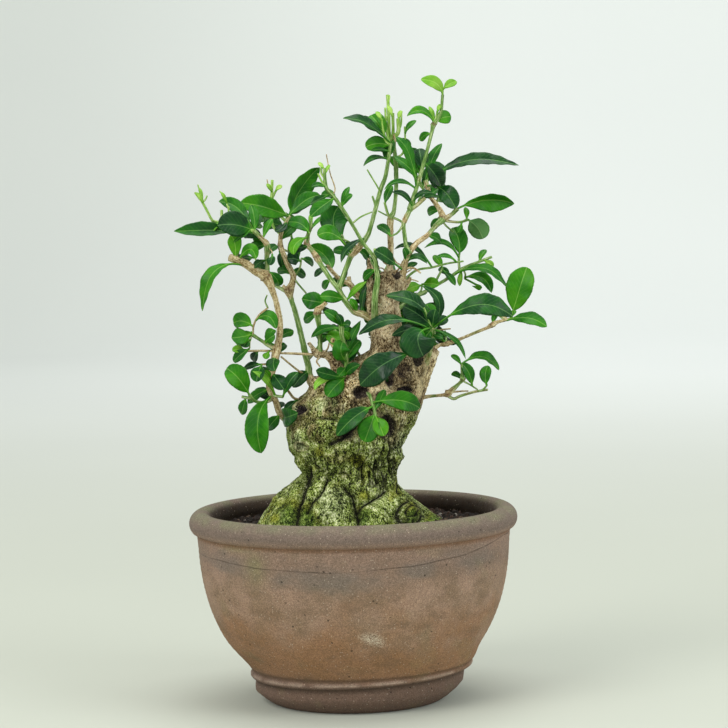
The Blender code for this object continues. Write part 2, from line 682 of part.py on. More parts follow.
def main():
    clear_scene()
    parts = new_collection("spindle_tree_bonsai")
    cutters = new_collection("cutters")
    trunk = old_wood("trunk", 0.0, parts, cutters)
    trunk.data.materials.append(material("trunk_material", "bark"))
    trunk_cutter = old_wood("trunk_cutter", TRUNK_GAP, cutters, cutters)
    hide_as_cutter(trunk_cutter)
    make_pot(parts)
    make_soil(parts, trunk_cutter)
    make_screen(parts, cutters)
    make_wire(parts)
    stems = make_stems(parts, trunk_cutter)
    for name, leaf in LEAVES.items():
        make_leaf(name, leaf, stems, parts)


main()
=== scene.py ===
"""Looks of the spindle tree bonsai: an old stump with furrowed mossy bark, cut-back branches and
glossy oval leaves, in a round unglazed pot. Sizes are in millimetres about the pot's axis."""

import json
import math
import random

import bpy
import numpy as np
from mathutils import Euler, Matrix, Vector, noise

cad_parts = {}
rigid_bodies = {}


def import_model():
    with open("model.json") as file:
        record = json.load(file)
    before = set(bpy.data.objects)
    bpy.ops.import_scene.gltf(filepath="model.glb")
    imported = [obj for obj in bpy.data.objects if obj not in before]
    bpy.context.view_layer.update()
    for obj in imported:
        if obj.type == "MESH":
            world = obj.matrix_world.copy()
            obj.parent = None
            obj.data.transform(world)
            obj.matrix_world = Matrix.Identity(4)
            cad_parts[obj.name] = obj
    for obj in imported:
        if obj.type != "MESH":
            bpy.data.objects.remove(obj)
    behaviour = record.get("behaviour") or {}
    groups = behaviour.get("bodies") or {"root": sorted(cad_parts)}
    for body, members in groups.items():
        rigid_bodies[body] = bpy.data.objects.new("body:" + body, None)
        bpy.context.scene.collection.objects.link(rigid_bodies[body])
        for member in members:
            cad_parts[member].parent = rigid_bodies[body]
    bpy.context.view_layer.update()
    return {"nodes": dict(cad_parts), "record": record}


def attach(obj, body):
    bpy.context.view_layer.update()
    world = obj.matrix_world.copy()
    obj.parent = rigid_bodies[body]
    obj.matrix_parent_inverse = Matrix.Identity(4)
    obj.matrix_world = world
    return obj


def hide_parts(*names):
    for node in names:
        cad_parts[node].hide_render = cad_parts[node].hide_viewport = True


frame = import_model()


# The pot is a bowl thrown on a wheel from coarse red clay and fired without glaze. Its rim is
# rolled outwards, and a ridge runs above the foot, which was trimmed to slope inwards. Ash has
# greyed the upper wall, and the clay is redder below.
MM = 0.001  # in metres
POT_AXIS = np.array((-7.9, 0.0, 0.0))
RIM_RADIUS, RIM_ROLL, RIM_HEIGHT = 83.4, 6.6, 99.3
POT_WALL = (
    (86.0, 93.7), (85.4, 88.0), (84.5, 76.0), (82.6, 64.0), (79.0, 51.0), (73.4, 38.3),
    (66.4, 27.6), (61.4, 20.4),
)
POT_RIDGE = (
    (60.3, 19.2), (60.9, 18.5), (61.3, 17.6), (61.1, 16.7), (60.2, 15.9), (58.6, 15.3),
    (57.7, 14.4), (57.6, 12.0), (57.3, 9.0), (55.8, 6.6), (51.4, 2.8), (48.0, 0.6),
)
POT_UNDER = (
    (46.6, 0.0), (39.0, 0.0), (38.3, 0.6), (38.3, 6.4), (37.6, 7.0), (24.0, 7.0), (8.4, 7.0),
    (8.0, 7.5), (8.0, 15.5), (8.5, 16.0), (24.0, 16.0), (50.0, 16.0),
)
POT_INSIDE = ((58.0, 20.0), (66.0, 30.5), (72.4, 43.0), (76.2, 58.0), (77.9, 73.0), (78.3, 88.0))
POT_COLORS = {
    "pink": "ab8d78", "brown": "947b64", "red": "97693f", "smudge": "776049", "ash": "706d64",
    "mauve": "8a746a", "worn": "b5a08f", "foot": "765f52", "algae": "86865a", "chalk": "cdbfa9",
    "rim": "7e6d62", "lichen": "7e7b60", "grime": "7c5231", "inside": "3d2f24", "pit": "2a211c",
    "fleck": "cdbca8",
}
ASH_PATCHES = (  # x, z, half width and half height
    (-14, 77.5, 34, 8.5), (64, 84, 20, 7), (-68, 84, 18, 6), (34, 82, 16, 5),
)
THROWING_LINE = ((-74, 84.5), (-43, 82.5), (-6, 81.5), (30, 83.5), (60, 86.5), (80, 92))
POT_AROUND = 200
FAR_OFF = 9.0  # stands for a distance that no mark reaches


def smooth_line(points, step):
    """Points about a step apart on a smooth curve through the given ones."""
    points = np.asarray(points, float)
    ends = np.vstack([2 * points[0] - points[1], points, 2 * points[-1] - points[-2]])
    line = []
    for a, b, c, d in zip(ends, ends[1:], ends[2:], ends[3:]):
        count = max(1, int(math.ceil(np.linalg.norm((c - b)[:3]) / step)))
        for t in np.arange(count) / count:
            line.append(
                0.5 * (2 * b + (c - a) * t + (2 * a - 5 * b + 4 * c - d) * t ** 2
                       + (3 * b - a - 3 * c + d) * t ** 3)
            )
    line.append(points[-1])
    return np.array(line)


def clouds(points, size, octaves=3, offset=0.0):
    """Soft noise of about -1 to 1 at each point, in patches of this size."""
    size = np.broadcast_to(np.asarray(size, float), (3,))
    spots = (points / size + offset).tolist()
    return np.array([noise.fractal(spot, 1.0, 2.0, octaves) for spot in spots])


def fade(values, low, high):
    """0 at low, 1 at high, eased between; low may be the larger."""
    share = np.clip((values - low) / (high - low), 0.0, 1.0)
    return share * share * (3.0 - 2.0 * share)


def sheet_faces(rows, around):
    """Four-sided faces of a grid of points, closed round each row."""
    low = np.arange(rows - 1)[:, None] * around
    a = np.arange(around)[None, :]
    b = (a + 1) % around
    faces = np.stack([low + a, low + b, low + around + b, low + around + a], -1)
    return faces.reshape(-1, 4).tolist()


def full_turn(around):
    """The angles of this many points round a ring."""
    return 2 * np.pi * np.arange(around) / around


def turned(radius, height, around):
    """Rows of points turned about the upright axis, from the radius and height of each row."""
    turn = full_turn(around)
    across = np.broadcast_arrays(radius * np.cos(turn), radius * np.sin(turn), height)
    return np.stack(across, -1)


def bell(off, width):
    """1 where off is 0, falling away on both sides over this width."""
    return np.exp(-(off / width) ** 2)


def blot(x, z, at_x, at_z, wide, tall):
    """1 at a spot, falling away over this width and height."""
    return np.exp(-(((x - at_x) / wide) ** 2 + ((z - at_z) / tall) ** 2))


def reach_of(x, z, at_x, at_z, wide, tall):
    """0 at the middle of a patch and 1 at its edge."""
    return np.hypot((x - at_x) / wide, (z - at_z) / tall)


def make_piece(name, points, faces, finish, **marks):
    """A mesh object from points in millimetres. Marks are numbers kept at each point."""
    mesh = bpy.data.meshes.new(name)
    mesh.from_pydata(((points + POT_AXIS) * MM).tolist(), [], faces)
    mesh.shade_smooth()
    for mark, values in marks.items():
        kept = mesh.attributes.new(mark, "FLOAT", "POINT")
        kept.data.foreach_set("value", np.broadcast_to(values, len(points)).astype(np.float32))
    made = bpy.data.objects.new(name, mesh)
    bpy.context.scene.collection.objects.link(made)
    mesh.materials.append(finish)
    return made


def tint(code):
    """A colour as the eye sees it, from six hexadecimal digits, for a shader."""
    parts = [int(code[i:i + 2], 16) / 255 for i in (0, 2, 4)]
    return (*[c / 12.92 if c <= 0.04045 else ((c + 0.055) / 1.055) ** 2.4 for c in parts], 1.0)


def add(tree, kind, sockets=None, **settings):
    """A shader node with its sockets linked or set, and its settings."""
    made = tree.nodes.new("ShaderNode" + kind)
    for setting, value in settings.items():
        setattr(made, setting, value)
    for socket, value in (sockets or {}).items():
        if isinstance(value, bpy.types.NodeSocket):
            tree.links.new(value, made.inputs[socket])
        else:
            made.inputs[socket].default_value = value
    return made


def reckon(operation, a, b=0.0, clamp=False):
    """One step of arithmetic in the shader tree that a or b belongs to."""
    tree = (a if isinstance(a, bpy.types.NodeSocket) else b).id_data
    return add(tree, "Math", {0: a, 1: b}, operation=operation, use_clamp=clamp).outputs[0]


def times(product, *others):
    for other in others:
        product = reckon("MULTIPLY", product, other)
    return product


def plus(total, *others):
    for other in others:
        total = reckon("ADD", total, other)
    return total


def minus(a, b):
    return reckon("SUBTRACT", a, b)


def between(value, low, high, to_low=0.0, to_high=1.0):
    """to_low where the value is low, to_high where it is high, eased between."""
    ends = {"From Min": low, "From Max": high, "To Min": to_low, "To Max": to_high}
    eased = {"interpolation_type": "SMOOTHSTEP"}
    return add(value.id_data, "MapRange", {"Value": value, **ends}, **eased).outputs[0]


def blend_of(share, a, b, way="MIX"):
    """Colour b over colour a by this share. A colour is a socket or six hexadecimal digits."""
    a, b = (tint(c) if isinstance(c, str) else c for c in (a, b))
    tree = (share if isinstance(share, bpy.types.NodeSocket) else a).id_data
    return add(tree, "Mix", {0: share, 6: a, 7: b}, data_type="RGBA", blend_type=way).outputs[2]


def layered(color, *steps):
    """A colour with others laid over it in turn, from pairs of share and colour."""
    for share, over in steps:
        color = blend_of(share, color, over)
    return color


def in_shade(color, *shades):
    """A colour made darker or lighter by shades of about 1."""
    shade = times(*shades)
    grey = add(shade.id_data, "CombineColor", {0: shade, 1: shade, 2: shade}).outputs[0]
    return blend_of(1.0, color, grey, "MULTIPLY")


def ramp_of(value, *steps):
    """A colour picked by a value of 0 to 1, from rising pairs of value and colour."""
    made = add(value.id_data, "ValToRGB", {0: value})
    stops = made.color_ramp.elements
    stops[0].position, stops[1].position = steps[0][0], steps[-1][0]
    for spot, _ in steps[1:-1]:
        stops.new(spot)
    for stop, (_, code) in zip(stops, steps):
        stop.color = tint(code)
    return made.outputs[0]


def mark_of(tree, name, strength=None):
    """A mark kept at each point of the mesh, or a share of it."""
    kept = add(tree, "Attribute", attribute_name=name).outputs["Fac"]
    return kept if strength is None else times(kept, strength)


def places(tree):
    """Where a point lies on the object, in metres."""
    return add(tree, "TexCoord").outputs["Object"]


def new_finish(name, roughness, **numbers):
    made = bpy.data.materials.new(name)
    made.use_nodes = True
    shader = made.node_tree.nodes["Principled BSDF"]
    shader.inputs["Roughness"].default_value = roughness
    for socket, value in numbers.items():
        shader.inputs[socket.replace("_", " ")].default_value = value
    return made, made.node_tree, shader


def coat(shader, color, roughness):
    """Gives the shader its colour and roughness from sockets."""
    for value, socket in ((color, "Base Color"), (roughness, "Roughness")):
        value.id_data.links.new(value, shader.inputs[socket])


def raise_surface(shader, height, depth_mm, strength=1.0):
    """Fine relief of this depth from a height of 0 to 1."""
    sockets = {"Height": height, "Distance": depth_mm * MM, "Strength": strength}
    raised = add(height.id_data, "Bump", sockets).outputs[0]
    height.id_data.links.new(raised, shader.inputs["Normal"])


def new_effect(name, **inputs):
    """A shader group to be filled, with its inputs' first values."""
    tree = bpy.data.node_groups.new(name, "ShaderNodeTree")
    for socket, value in inputs.items():
        kind = "NodeSocketVector" if value is None else "NodeSocketFloat"
        label = socket.replace("_", " ")
        made = tree.interface.new_socket(label, in_out="INPUT", socket_type=kind)
        if value is not None:
            made.default_value = value
    return tree, tree.nodes.new("NodeGroupInput")


def end_effect(tree, **outputs):
    for socket in outputs:
        tree.interface.new_socket(socket, in_out="OUTPUT", socket_type="NodeSocketFloat")
    end = tree.nodes.new("NodeGroupOutput")
    for socket, value in outputs.items():
        tree.links.new(value, end.inputs[socket])


def use_effect(tree, effect, **inputs):
    made = tree.nodes.new("ShaderNodeGroup")
    made.node_tree = effect
    for socket, value in inputs.items():
        target = made.inputs[socket.replace("_", " ")]
        if isinstance(value, bpy.types.NodeSocket):
            tree.links.new(value, target)
        else:
            target.default_value = value
    return made.outputs


# Grit: clouds, grains and rare specks of a stated size, for clay, soil and bark.
grit, given = new_effect("grit", Place=None, Cloud_mm=20.0, Grain_mm=1.0, Speck_mm=2.0)
given = given.outputs
soft, fine = (
    add(grit, "TexNoise", {
        "Vector": given["Place"], "Detail": detail, "Roughness": roughness,
        "Scale": reckon("DIVIDE", 1000.0, given[size]),
    }).outputs[0] for size, detail, roughness in (("Cloud mm", 4.0, 0.6), ("Grain mm", 3.0, 0.7))
)
cells = {"Vector": given["Place"], "Scale": reckon("DIVIDE", 1000.0, given["Speck mm"])}
cells = add(grit, "TexVoronoi", cells).outputs
end_effect(
    grit, Cloud=between(soft, 0.3, 0.7), Grain=between(fine, 0.3, 0.7),
    Speck=between(cells["Distance"], 0.42, 0.25),
    Lot=add(grit, "SeparateColor", {0: cells["Color"]}).outputs[0],
)


def grit_of(tree, cloud_mm, grain_mm, speck_mm, place=None):
    """Grit of these sizes, laid over the object itself if no other place is given."""
    place = places(tree) if place is None else place
    sizes = {"Cloud_mm": cloud_mm, "Grain_mm": grain_mm, "Speck_mm": speck_mm}
    return use_effect(tree, grit, Place=place, **sizes)


arc = np.radians(np.linspace(205.0, -42.0, 26))
rim = np.stack([RIM_RADIUS + RIM_ROLL * np.cos(arc), RIM_HEIGHT + RIM_ROLL * np.sin(arc)], 1)
inside_line = smooth_line(POT_INSIDE, 3.0)
profile = np.vstack([
    rim, [(86.6, 94.2)], smooth_line(POT_WALL, 1.6), POT_RIDGE, smooth_line(POT_UNDER, 4.0),
    inside_line, rim[:1],
])
angle = np.repeat(full_turn(POT_AROUND)[None, :], len(profile), 0)
radius, height = (np.repeat(profile[:, i:i + 1], POT_AROUND, 1) for i in (0, 1))
outside = radius > 56.0
by_hand = 0.28 * np.sin(2 * angle + 0.6) + 0.18 * np.sin(3 * angle + height / 40)
rings = 0.1 * np.sin(height * 1.9 + np.sin(angle + 1.0)) * fade(height, 22.0, 30.0)
uneven = by_hand * fade(height, 0.0, 60.0) + rings * (height < 93)
radius = radius + np.where(outside, uneven, 0.0)
foot = fade(height, 30.0, 12.0) * outside
pot_points = turned(radius, height, POT_AROUND)
pot_points[..., 0] += 1.3 * foot + 2.4 * bell(height - 21.0, 7.0) * outside
pot_points[..., 2] += foot * fade(height, 6.0, 13.0) * pot_points[..., 0] * 0.04
pot_points = pot_points.reshape(-1, 3)
x, y, z = pot_points.T
radius, level, outside = radius.ravel(), height.ravel(), outside.ravel()

line_z = np.interp(x, *np.array(THROWING_LINE).T) + 0.5 * clouds(pot_points, 18.0)
off_groove = np.where((radius > 80) & (y < 30) & (z < 93), z - line_z, FAR_OFF)
groove_share = 0.3 + 0.7 * fade(clouds(pot_points, (26, 26, 40), 2, 1.0), -0.5, 0.2)
wall = (radius > 45) & (z < 93.5)
ragged = 0.5 * clouds(pot_points, (14, 14, 6), 4, 2.0)
in_front = (y < 0) * (1 + 0.6 * ragged)
# Painted shade: a broad darker band below the rim, darkest across the middle of the front; it is
# laid into the smudge mark.
dusk = blot(x, z, 10, 82, 46, 12) * in_front + 0.6 * blot(x, z, -16, 64, 34, 12) * in_front
warm = blot(x, z, -56, 38, 20, 16) * in_front
ash = np.zeros(len(x))
for patch in ASH_PATCHES:
    ash = np.maximum(ash, fade(reach_of(x, z, *patch) + ragged, 1.25, 0.2) * (y < 20))
haze = 0.7 * fade(clouds(pot_points, (30, 30, 9), 4), 0.1, 0.6) * fade(z, 60, 76) * (y > -20)
ash = wall * np.maximum(ash, haze)
rust = fade(clouds(pot_points, 24.0, 4, 7.0) * 20 - z + 46, -16.0, 18.0)
rust = wall * np.clip(rust + 0.6 * warm, 0, 1)
# The smudge mark holds real smudges and also the painted shade below the rim.
smudge = fade(clouds(pot_points, (18, 18, 7), 4, 12.0), 0.0, 0.7) * fade(z, 92.0, 80.0)
smudge = wall * np.clip(0.8 * smudge + 0.85 * dusk + 0.4 * warm, 0, 1)
algae = blot(x, z, -52, 82, 5, 8) * (y < 0) + 0.8 * blot(x, z, -62, 92, 7, 2) * (y < 0)
algae += 0.25 * fade(clouds(pot_points, 22.0, 4, 3.0), 0.3, 0.6) * wall
algae = np.clip(algae * (1 + ragged), 0, 1)
chalk = reach_of(x + 0.5 * (z - 44.5), z, 9.5, 44.5, 6.6, 3.9) + 0.9 * ragged
chalk = fade(chalk, 1.25, 0.3) * (y < 0)
# Grime and painted shade in the corner under the rolled rim: a thin darker line.
grime = bell(z - 93.2 - 0.4 * ragged, 0.9) * (radius > 80)
# Painted shade: dark lines in the creases just above and just below the ridge.
under_wall = outside * bell(level - 19.9, 0.7) + outside * bell(level - 14.9, 0.6)
# Painted highlight: a pale line along the ridge's outer edge, broken up by clouds.
worn = outside * bell(level - 17.8, 0.8) * fade(clouds(pot_points, 16.0, 3, 5.0), -0.5, 0.2)
# Painted shade inside the pot: the inner wall and the inner side of the rolled rim are coloured
# dark.
row = np.repeat(np.arange(len(profile)), POT_AROUND)
first_inside = len(profile) - len(inside_line) - 12
pot_inside = np.where(row > first_inside, 1.0, fade(row, 9.5, 5.5) * 0.95)

fired_clay, tree, shader = new_finish("fired_clay", 0.82, Specular_IOR_Level=0.3)
spots, small = grit_of(tree, 17.0, 1.1, 1.7), grit_of(tree, 4.0, 0.5, 0.9)
up = add(tree, "SeparateXYZ", {0: places(tree)}).outputs["Z"]
groove = between(reckon("ABSOLUTE", mark_of(tree, "off_groove")), 0.45, 0.1)
groove = times(groove, mark_of(tree, "groove_share"))
chalky = times(mark_of(tree, "chalk"), between(small["Grain"], 0.3, 0.75))
dark_specks = times(spots["Speck"], between(spots["Lot"], 0.984, 0.988))
pale_specks = times(small["Speck"], between(small["Lot"], 0.06, 0.04))
color = blend_of(spots["Cloud"], POT_COLORS["brown"], POT_COLORS["pink"])
color = layered(color, *((share, POT_COLORS[name]) for name, share in (
    # The smudge colour gives real smudges and also the painted shade below the rim.
    ("red", mark_of(tree, "rust", 0.62)), ("smudge", mark_of(tree, "smudge", 0.5)),
    ("ash", mark_of(tree, "ash", 0.66)), ("mauve", times(between(up, 0.064, 0.088), 0.45)),
    ("foot", between(up, 0.024, 0.0155)), ("rim", between(up, 0.0945, 0.0985)),
    # The pit colour also paints the shade in the creases by the ridge.
    # The worn colour is a painted highlight on the ridge's outer edge.
    ("pit", mark_of(tree, "under_wall", 0.7)), ("worn", mark_of(tree, "worn", 0.7)),
    ("lichen", times(between(up, 0.1, 0.105), spots["Cloud"])),
    ("algae", mark_of(tree, "algae", 0.5)), ("chalk", chalky),
    # The grime line also paints the shade under the rim.
    # The inside colour is painted shade inside the pot.
    ("grime", mark_of(tree, "grime", 0.75)), ("inside", mark_of(tree, "inside")),
    ("pit", times(groove, 0.5)),
)))
color = in_shade(
    color, between(small["Grain"], 0.0, 1.0, 0.74, 1.26),
    between(spots["Grain"], 0.0, 1.0, 0.88, 1.1), between(small["Cloud"], 0.0, 1.0, 0.93, 1.05),
)
color = layered(
    color, (times(dark_specks, 0.7), POT_COLORS["pit"]),
    (times(pale_specks, 0.55), POT_COLORS["fleck"]),
)
coat(shader, color, between(small["Cloud"], 0.0, 1.0, 0.74, 0.94))
relief = minus(plus(small["Grain"], times(dark_specks, -2.0)), times(groove, 1.2))
raise_surface(shader, relief, 0.25, 0.85)

pot = make_piece(
    "pot_thrown", pot_points, sheet_faces(len(profile), POT_AROUND), fired_clay,
    ash=ash, rust=rust, smudge=smudge, algae=algae, chalk=chalk, grime=grime, inside=pot_inside,
    off_groove=off_groove, groove_share=groove_share, under_wall=under_wall, worn=worn,
)
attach(pot, "root")
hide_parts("pot")


# Under the soil a disc of plastic mesh covers the drain hole. A staple of aluminium wire holds
# it down, its ends bent out under the floor.
for node, name, roughness, metallic, cloud_mm, grain_mm, dark, pale, shine, relief_mm in (
    ("drain_screen", "moulded_mesh", 0.55, 0, 6.0, 0.5, "1c1c1e", "2b2a28", (0.45, 0.7), 0.05),
    (
        "screen_wire", "dull_aluminium_wire", 0.42, 1, 4.0, 0.3, "8f8c88", "b5b3b0", (0.35, 0.6),
        0.03,
    ),
):
    finish, tree, shader = new_finish(name, roughness, Metallic=metallic)
    spots = grit_of(tree, cloud_mm, grain_mm, 1.0)
    coat(shader, blend_of(spots["Cloud"], dark, pale), between(spots["Grain"], 0.0, 1.0, *shine))
    raise_surface(shader, spots["Grain"], relief_mm)
    frame["nodes"][node].material_slots[0].material = finish


# The soil is a dark mix of fired clay grains, humus and a few grains of pumice, about 10 mm
# under the rim. Loose grains lie on it.
SOIL_TOP = ((0.0, 97.6), (45.0, 97.0), (66.0, 95.8), (77.6, 95.0))
SOIL_BASE = (
    (77.4, 88.0), (77.2, 73.0), (75.4, 58.0), (71.6, 43.2), (65.2, 30.8), (57.4, 20.4),
    (49.6, 16.4), (22.0, 16.4), (22.0, 20.0), (0.2, 20.0),
)
SOIL_AROUND, GRAINS = 180, 2300
GRAIN_SIZES, LEAST_GRAIN = (0.6, 0.8, 1.0, 1.2, 1.6, 2.0), 0.4


def end_faces(rows, around):
    """The two faces that close the ends of a sheet of closed rows."""
    last = (rows - 1) * around
    return [list(range(around))[::-1], list(range(last, last + around))]


dark_soil, tree, shader = new_finish("damp_soil", 0.93)
spots, lot = grit_of(tree, 7.0, 0.8, 2.4), mark_of(tree, "lot")
color = layered(
    blend_of(spots["Cloud"], "221a14", "3b2d22"), (between(lot, 0.55, 0.75), "4d3527"),
    (between(lot, 0.84, 0.88), "6e5a48"), (between(lot, 0.975, 0.98), "cfc6b8"),
    (times(spots["Grain"], 0.4), "171210"),
)
coat(shader, color, between(spots["Cloud"], 0.0, 1.0, 0.75, 0.97))
raise_surface(shader, spots["Grain"], 0.5)

soil_line = np.vstack([smooth_line(SOIL_TOP, 1.0), SOIL_BASE])
soil_line[0, 0] = 0.2
soil_points = turned(soil_line[:, :1], soil_line[:, 1:], SOIL_AROUND).reshape(-1, 3)
rough = 0.8 * clouds(soil_points, 14.0) + 0.7 * clouds(soil_points, 3.0, 3, 9.0)
soil_points[:, 2] += fade(soil_points[:, 2], 93.0, 94.8) * rough
faces = sheet_faces(len(soil_line), SOIL_AROUND) + end_faces(len(soil_line), SOIL_AROUND)
soil = make_piece("soil_bed", soil_points, faces, dark_soil, lot=0.3)

chance = random.Random(31)
golden = (1 + 5 ** 0.5) / 2
nut = [Vector(p).normalized() for p in (
    (-1, golden, 0), (1, golden, 0), (-1, -golden, 0), (1, -golden, 0), (0, -1, golden),
    (0, 1, golden), (0, -1, -golden), (0, 1, -golden), (golden, 0, -1), (golden, 0, 1),
    (-golden, 0, -1), (-golden, 0, 1),
)]
nut_faces = (
    (0, 11, 5), (0, 5, 1), (0, 1, 7), (0, 7, 10), (0, 10, 11), (1, 5, 9), (5, 11, 4), (11, 10, 2),
    (10, 7, 6), (7, 1, 8), (3, 9, 4), (3, 4, 2), (3, 2, 6), (3, 6, 8), (3, 8, 9), (4, 9, 5),
    (2, 4, 11), (6, 2, 10), (8, 6, 7), (9, 8, 1),
)
grain_points, grain_faces, grain_lots = [], [], []
for i in range(GRAINS):
    way, reach = chance.uniform(0, 2 * math.pi), 77.0 * math.sqrt(chance.uniform(0.02, 1.0))
    size = min(chance.choice(GRAIN_SIZES), 77.2 - reach)
    if size < LEAST_GRAIN:
        continue
    z = np.interp(reach, *np.array(SOIL_TOP).T) + chance.uniform(-0.3, 0.9)
    middle = np.array((reach * math.cos(way), reach * math.sin(way), z))
    spin = Euler([chance.uniform(0, 6) for _ in range(3)]).to_matrix()
    form = Vector((1.0, chance.uniform(0.6, 1.0), chance.uniform(0.5, 0.9)))
    for corner in nut:
        shaped = spin @ (corner * chance.uniform(0.75, 1.15) * form)
        grain_points.append(middle + np.array(shaped) * size)
    grain_faces += [[len(nut) * len(grain_lots) + k for k in face] for face in nut_faces]
    grain_lots.append(chance.random())
grains = make_piece(
    "soil_grains", np.array(grain_points), grain_faces, dark_soil,
    lot=np.repeat(grain_lots, len(nut)),
)
grains.data.shade_flat()
for piece in (soil, grains):
    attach(piece, "root")
    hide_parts("soil")


# The stump is one old trunk with flared roots, cut back many times. Its bark is furrowed into
# small plates, yellow green with moss and lichen low down and beige brown higher up. Old cuts
# have left dark hollows with rolled lips, and five stubs of dead or cut branches stay on it.
EYE_AWAY = 1500.0  # from the pot's axis to where the front view is seen from
EYE = np.array((0.0, -EYE_AWAY, 287.2))
OUTLINE = (  # height, left edge, right edge as seen from the front
    (82, -47, 42), (90, -51, 46), (97, -52.7, 48.8), (101.5, -50.2, 41), (107, -46.3, 35.5),
    (112, -43, 30), (115, -39.1, 26.8), (118.5, -34.4, 25.4), (121, -32, 25), (123, -29.3, 24.7),
    (125, -28.1, 25), (128, -29.6, 25.9), (131.3, -31.5, 28), (133, -31.6, 29.5),
    (134.8, -31.8, 28.6), (138, -34, 27.5), (141, -35, 29), (145, -35.7, 30.2), (150, -36, 34),
    (153.5, -35.5, 36.5), (158, -34, 38.2), (163, -31, 39.8), (166, -27.8, 41),
    (169.5, -24.4, 41.8), (173, -23, 42.8), (176.8, -22.2, 43.9), (178.6, -15, 44.3),
    (180, -9.5, 44.6), (183.5, -5, 44.8), (186, -0.5, 44), (188.5, 4, 41), (190.5, 8, 36),
    (192.5, 10.6, 32.6), (196, 11.5, 30.4), (203, 11.5, 29.5), (210, 10.6, 29), (213, 10, 28.5),
    (217, 11, 28), (222, 11.5, 30), (227, 12.6, 31.8), (230, 13.6, 32.6), (232.5, 15.6, 32.4),
    (234.2, 18.5, 30.5), (235, 21.5, 27.5),
)
TRUNK_DEPTH = (  # height, half the depth from front to back
    (80, 36), (90, 40), (97, 42), (104, 36), (111, 31), (118, 27), (125, 24), (133, 25), (141, 27),
    (150, 28.5), (158, 28), (166, 26), (174, 24), (181, 20.5), (187, 16.5), (193, 12.5), (203, 11),
    (213, 11), (222, 11.5), (230, 11.5), (235, 8),
)
SEAMS = (  # width, depth, then x and z along each deep crack as seen from the front
    (1, 1.6, (-22, 136), (-19.9, 129), (-17.8, 127.6)),
    (2.2, 3.6, (-24, 126), (-27.4, 115), (-30.2, 107.6), (-31.6, 96)),
    (1.4, 2.2, (-13.7, 122), (-15.7, 116.6), (-18.5, 112.5), (-22.6, 108), (-25, 103)),
    (1.9, 3.4, (-4, 116.6), (0.1, 111.8), (1.2, 105.5), (2.2, 96)),
    (1.3, 1.8, (2.2, 103.4), (7, 106.9), (13.2, 110.4), (19, 114)),
    (1, 1.8, (6.8, 128), (6, 123), (7, 119)), (0.9, 1.6, (10.5, 124), (10.2, 117)),
    (1.1, 1.9, (14.3, 131), (13.6, 124), (14.4, 118)), (0.9, 1.6, (17.3, 124), (18, 114)),
    (1, 1.9, (20.8, 140), (20.2, 133), (21.2, 124)),
    (0.9, 1.7, (23.3, 143), (22.8, 134), (23.5, 126)),
    (0.9, 1.4, (-18.5, 155.7), (-13.7, 155), (-8.1, 154)),
    (2.6, 2.6, (-11.5, 140.5), (-5.4, 143), (0.1, 147.3), (4.5, 151)),
    (0.8, 1.2, (-9, 138), (-8, 133)), (0.8, 1.2, (-26, 131), (-24, 124)),
    (1, 1.5, (30, 110), (34, 104), (40, 100)), (0.8, 1.2, (26, 121), (25, 113)),
)
WOUNDS = (  # x, z, half width, half height, depth, and whether it is a bare hollow
    (-27.8, 160.5, 3.2, 3, 2.6, 1), (20, 150.4, 3.2, 6.8, 2.2, 0.9), (21.8, 177, 2.4, 6, 2.2, 0.9),
    (29.7, 169.3, 4, 2.7, 2.6, 1), (5.6, 169, 4.6, 3.4, 3, 0.9), (36.8, 185.6, 2.4, 3, 1.8, 0.9),
    (29.7, 180, 4.6, 4.6, 0.8, 0.45), (-28, 140, 2.6, 2, 0.6, 0.5), (27, 233, 2.6, 3, 2.4, 0.9),
    (-2, 145.5, 4, 2.4, 1.4, 0.7), (16.8, 166.8, 3, 2.6, 1.2, 0.7), (12.2, 158, 2.8, 2.2, 1, 0.6),
)
BACK_WOUNDS = (  # the same, on the far side
    (-14, 163, 6.5, 5, 3, 0.9), (20, 150, 4, 6, 2.2, 0.8), (26, 181, 4.5, 4, 2, 0.8),
    (-20, 139, 3.6, 2.8, 1.4, 0.7), (19, 207, 2.4, 4.4, 1.2, 0.6),
)
# Painted shade: darker green on the moss low on the trunk near the soil, in the hollows between
# the root lobes.
SHADED_MOSS = (  # x, z, half width and half height, as in the next tables of patches
    (-36, 102, 5.5, 7.5), (-26, 99, 5, 8), (31.5, 98.5, 5, 4.5), (46, 96, 5, 5), (6, 99, 4, 6),
)
LICHEN = ((-10.6, 108, 9.5, 12), (-30, 143, 4, 6), (-11, 162, 8, 5), (27, 141, 5, 8))
ROOT_LOBES = (  # x, z, half width, half height and how far each root stands out
    (-10.5, 100, 12, 16, 2.6), (-36, 98, 11, 13, 2), (12, 98, 10, 14, 1.6), (-12, 132, 11, 8, 1.4),
    (12, 138, 9, 9, 1.2), (-20, 150, 9, 6, 1.2),
)
SMOOTH_RIDGES = (  # width, height, then x and z along each ridge
    (2, 0.9, (20, 183), (18, 178), (17, 170)), (2, 0.8, (41.5, 190), (40, 180), (38, 166)),
)
SOOT_PATCHES = (  # x, z, half width, half height and strength of weathered wood round the cuts
    (28.5, 178.5, 9.5, 13, 0.95), (-24.5, 155.5, 6, 7, 0.8), (-8, 168.5, 13, 5.5, 0.55),
    (22.5, 150, 4.6, 9, 0.8), (1, 146, 11, 3.6, 0.7), (12, 164, 9, 6.5, 0.7),
    (22, 232, 9, 3.4, 0.9), (-5, 124, 5, 4, 0.4), (-9, 133, 9, 3, 0.45),
)
GREEN_PATCHES = (
    (-35, 105.5, 7, 7), (31, 101, 6, 8), (-17.8, 136, 4, 3.5), (7, 112, 4.5, 3.5),
    (10.5, 150, 2, 2.6), (-42, 100, 5, 4), (3, 131, 6, 5), (44, 98, 4, 4),
)
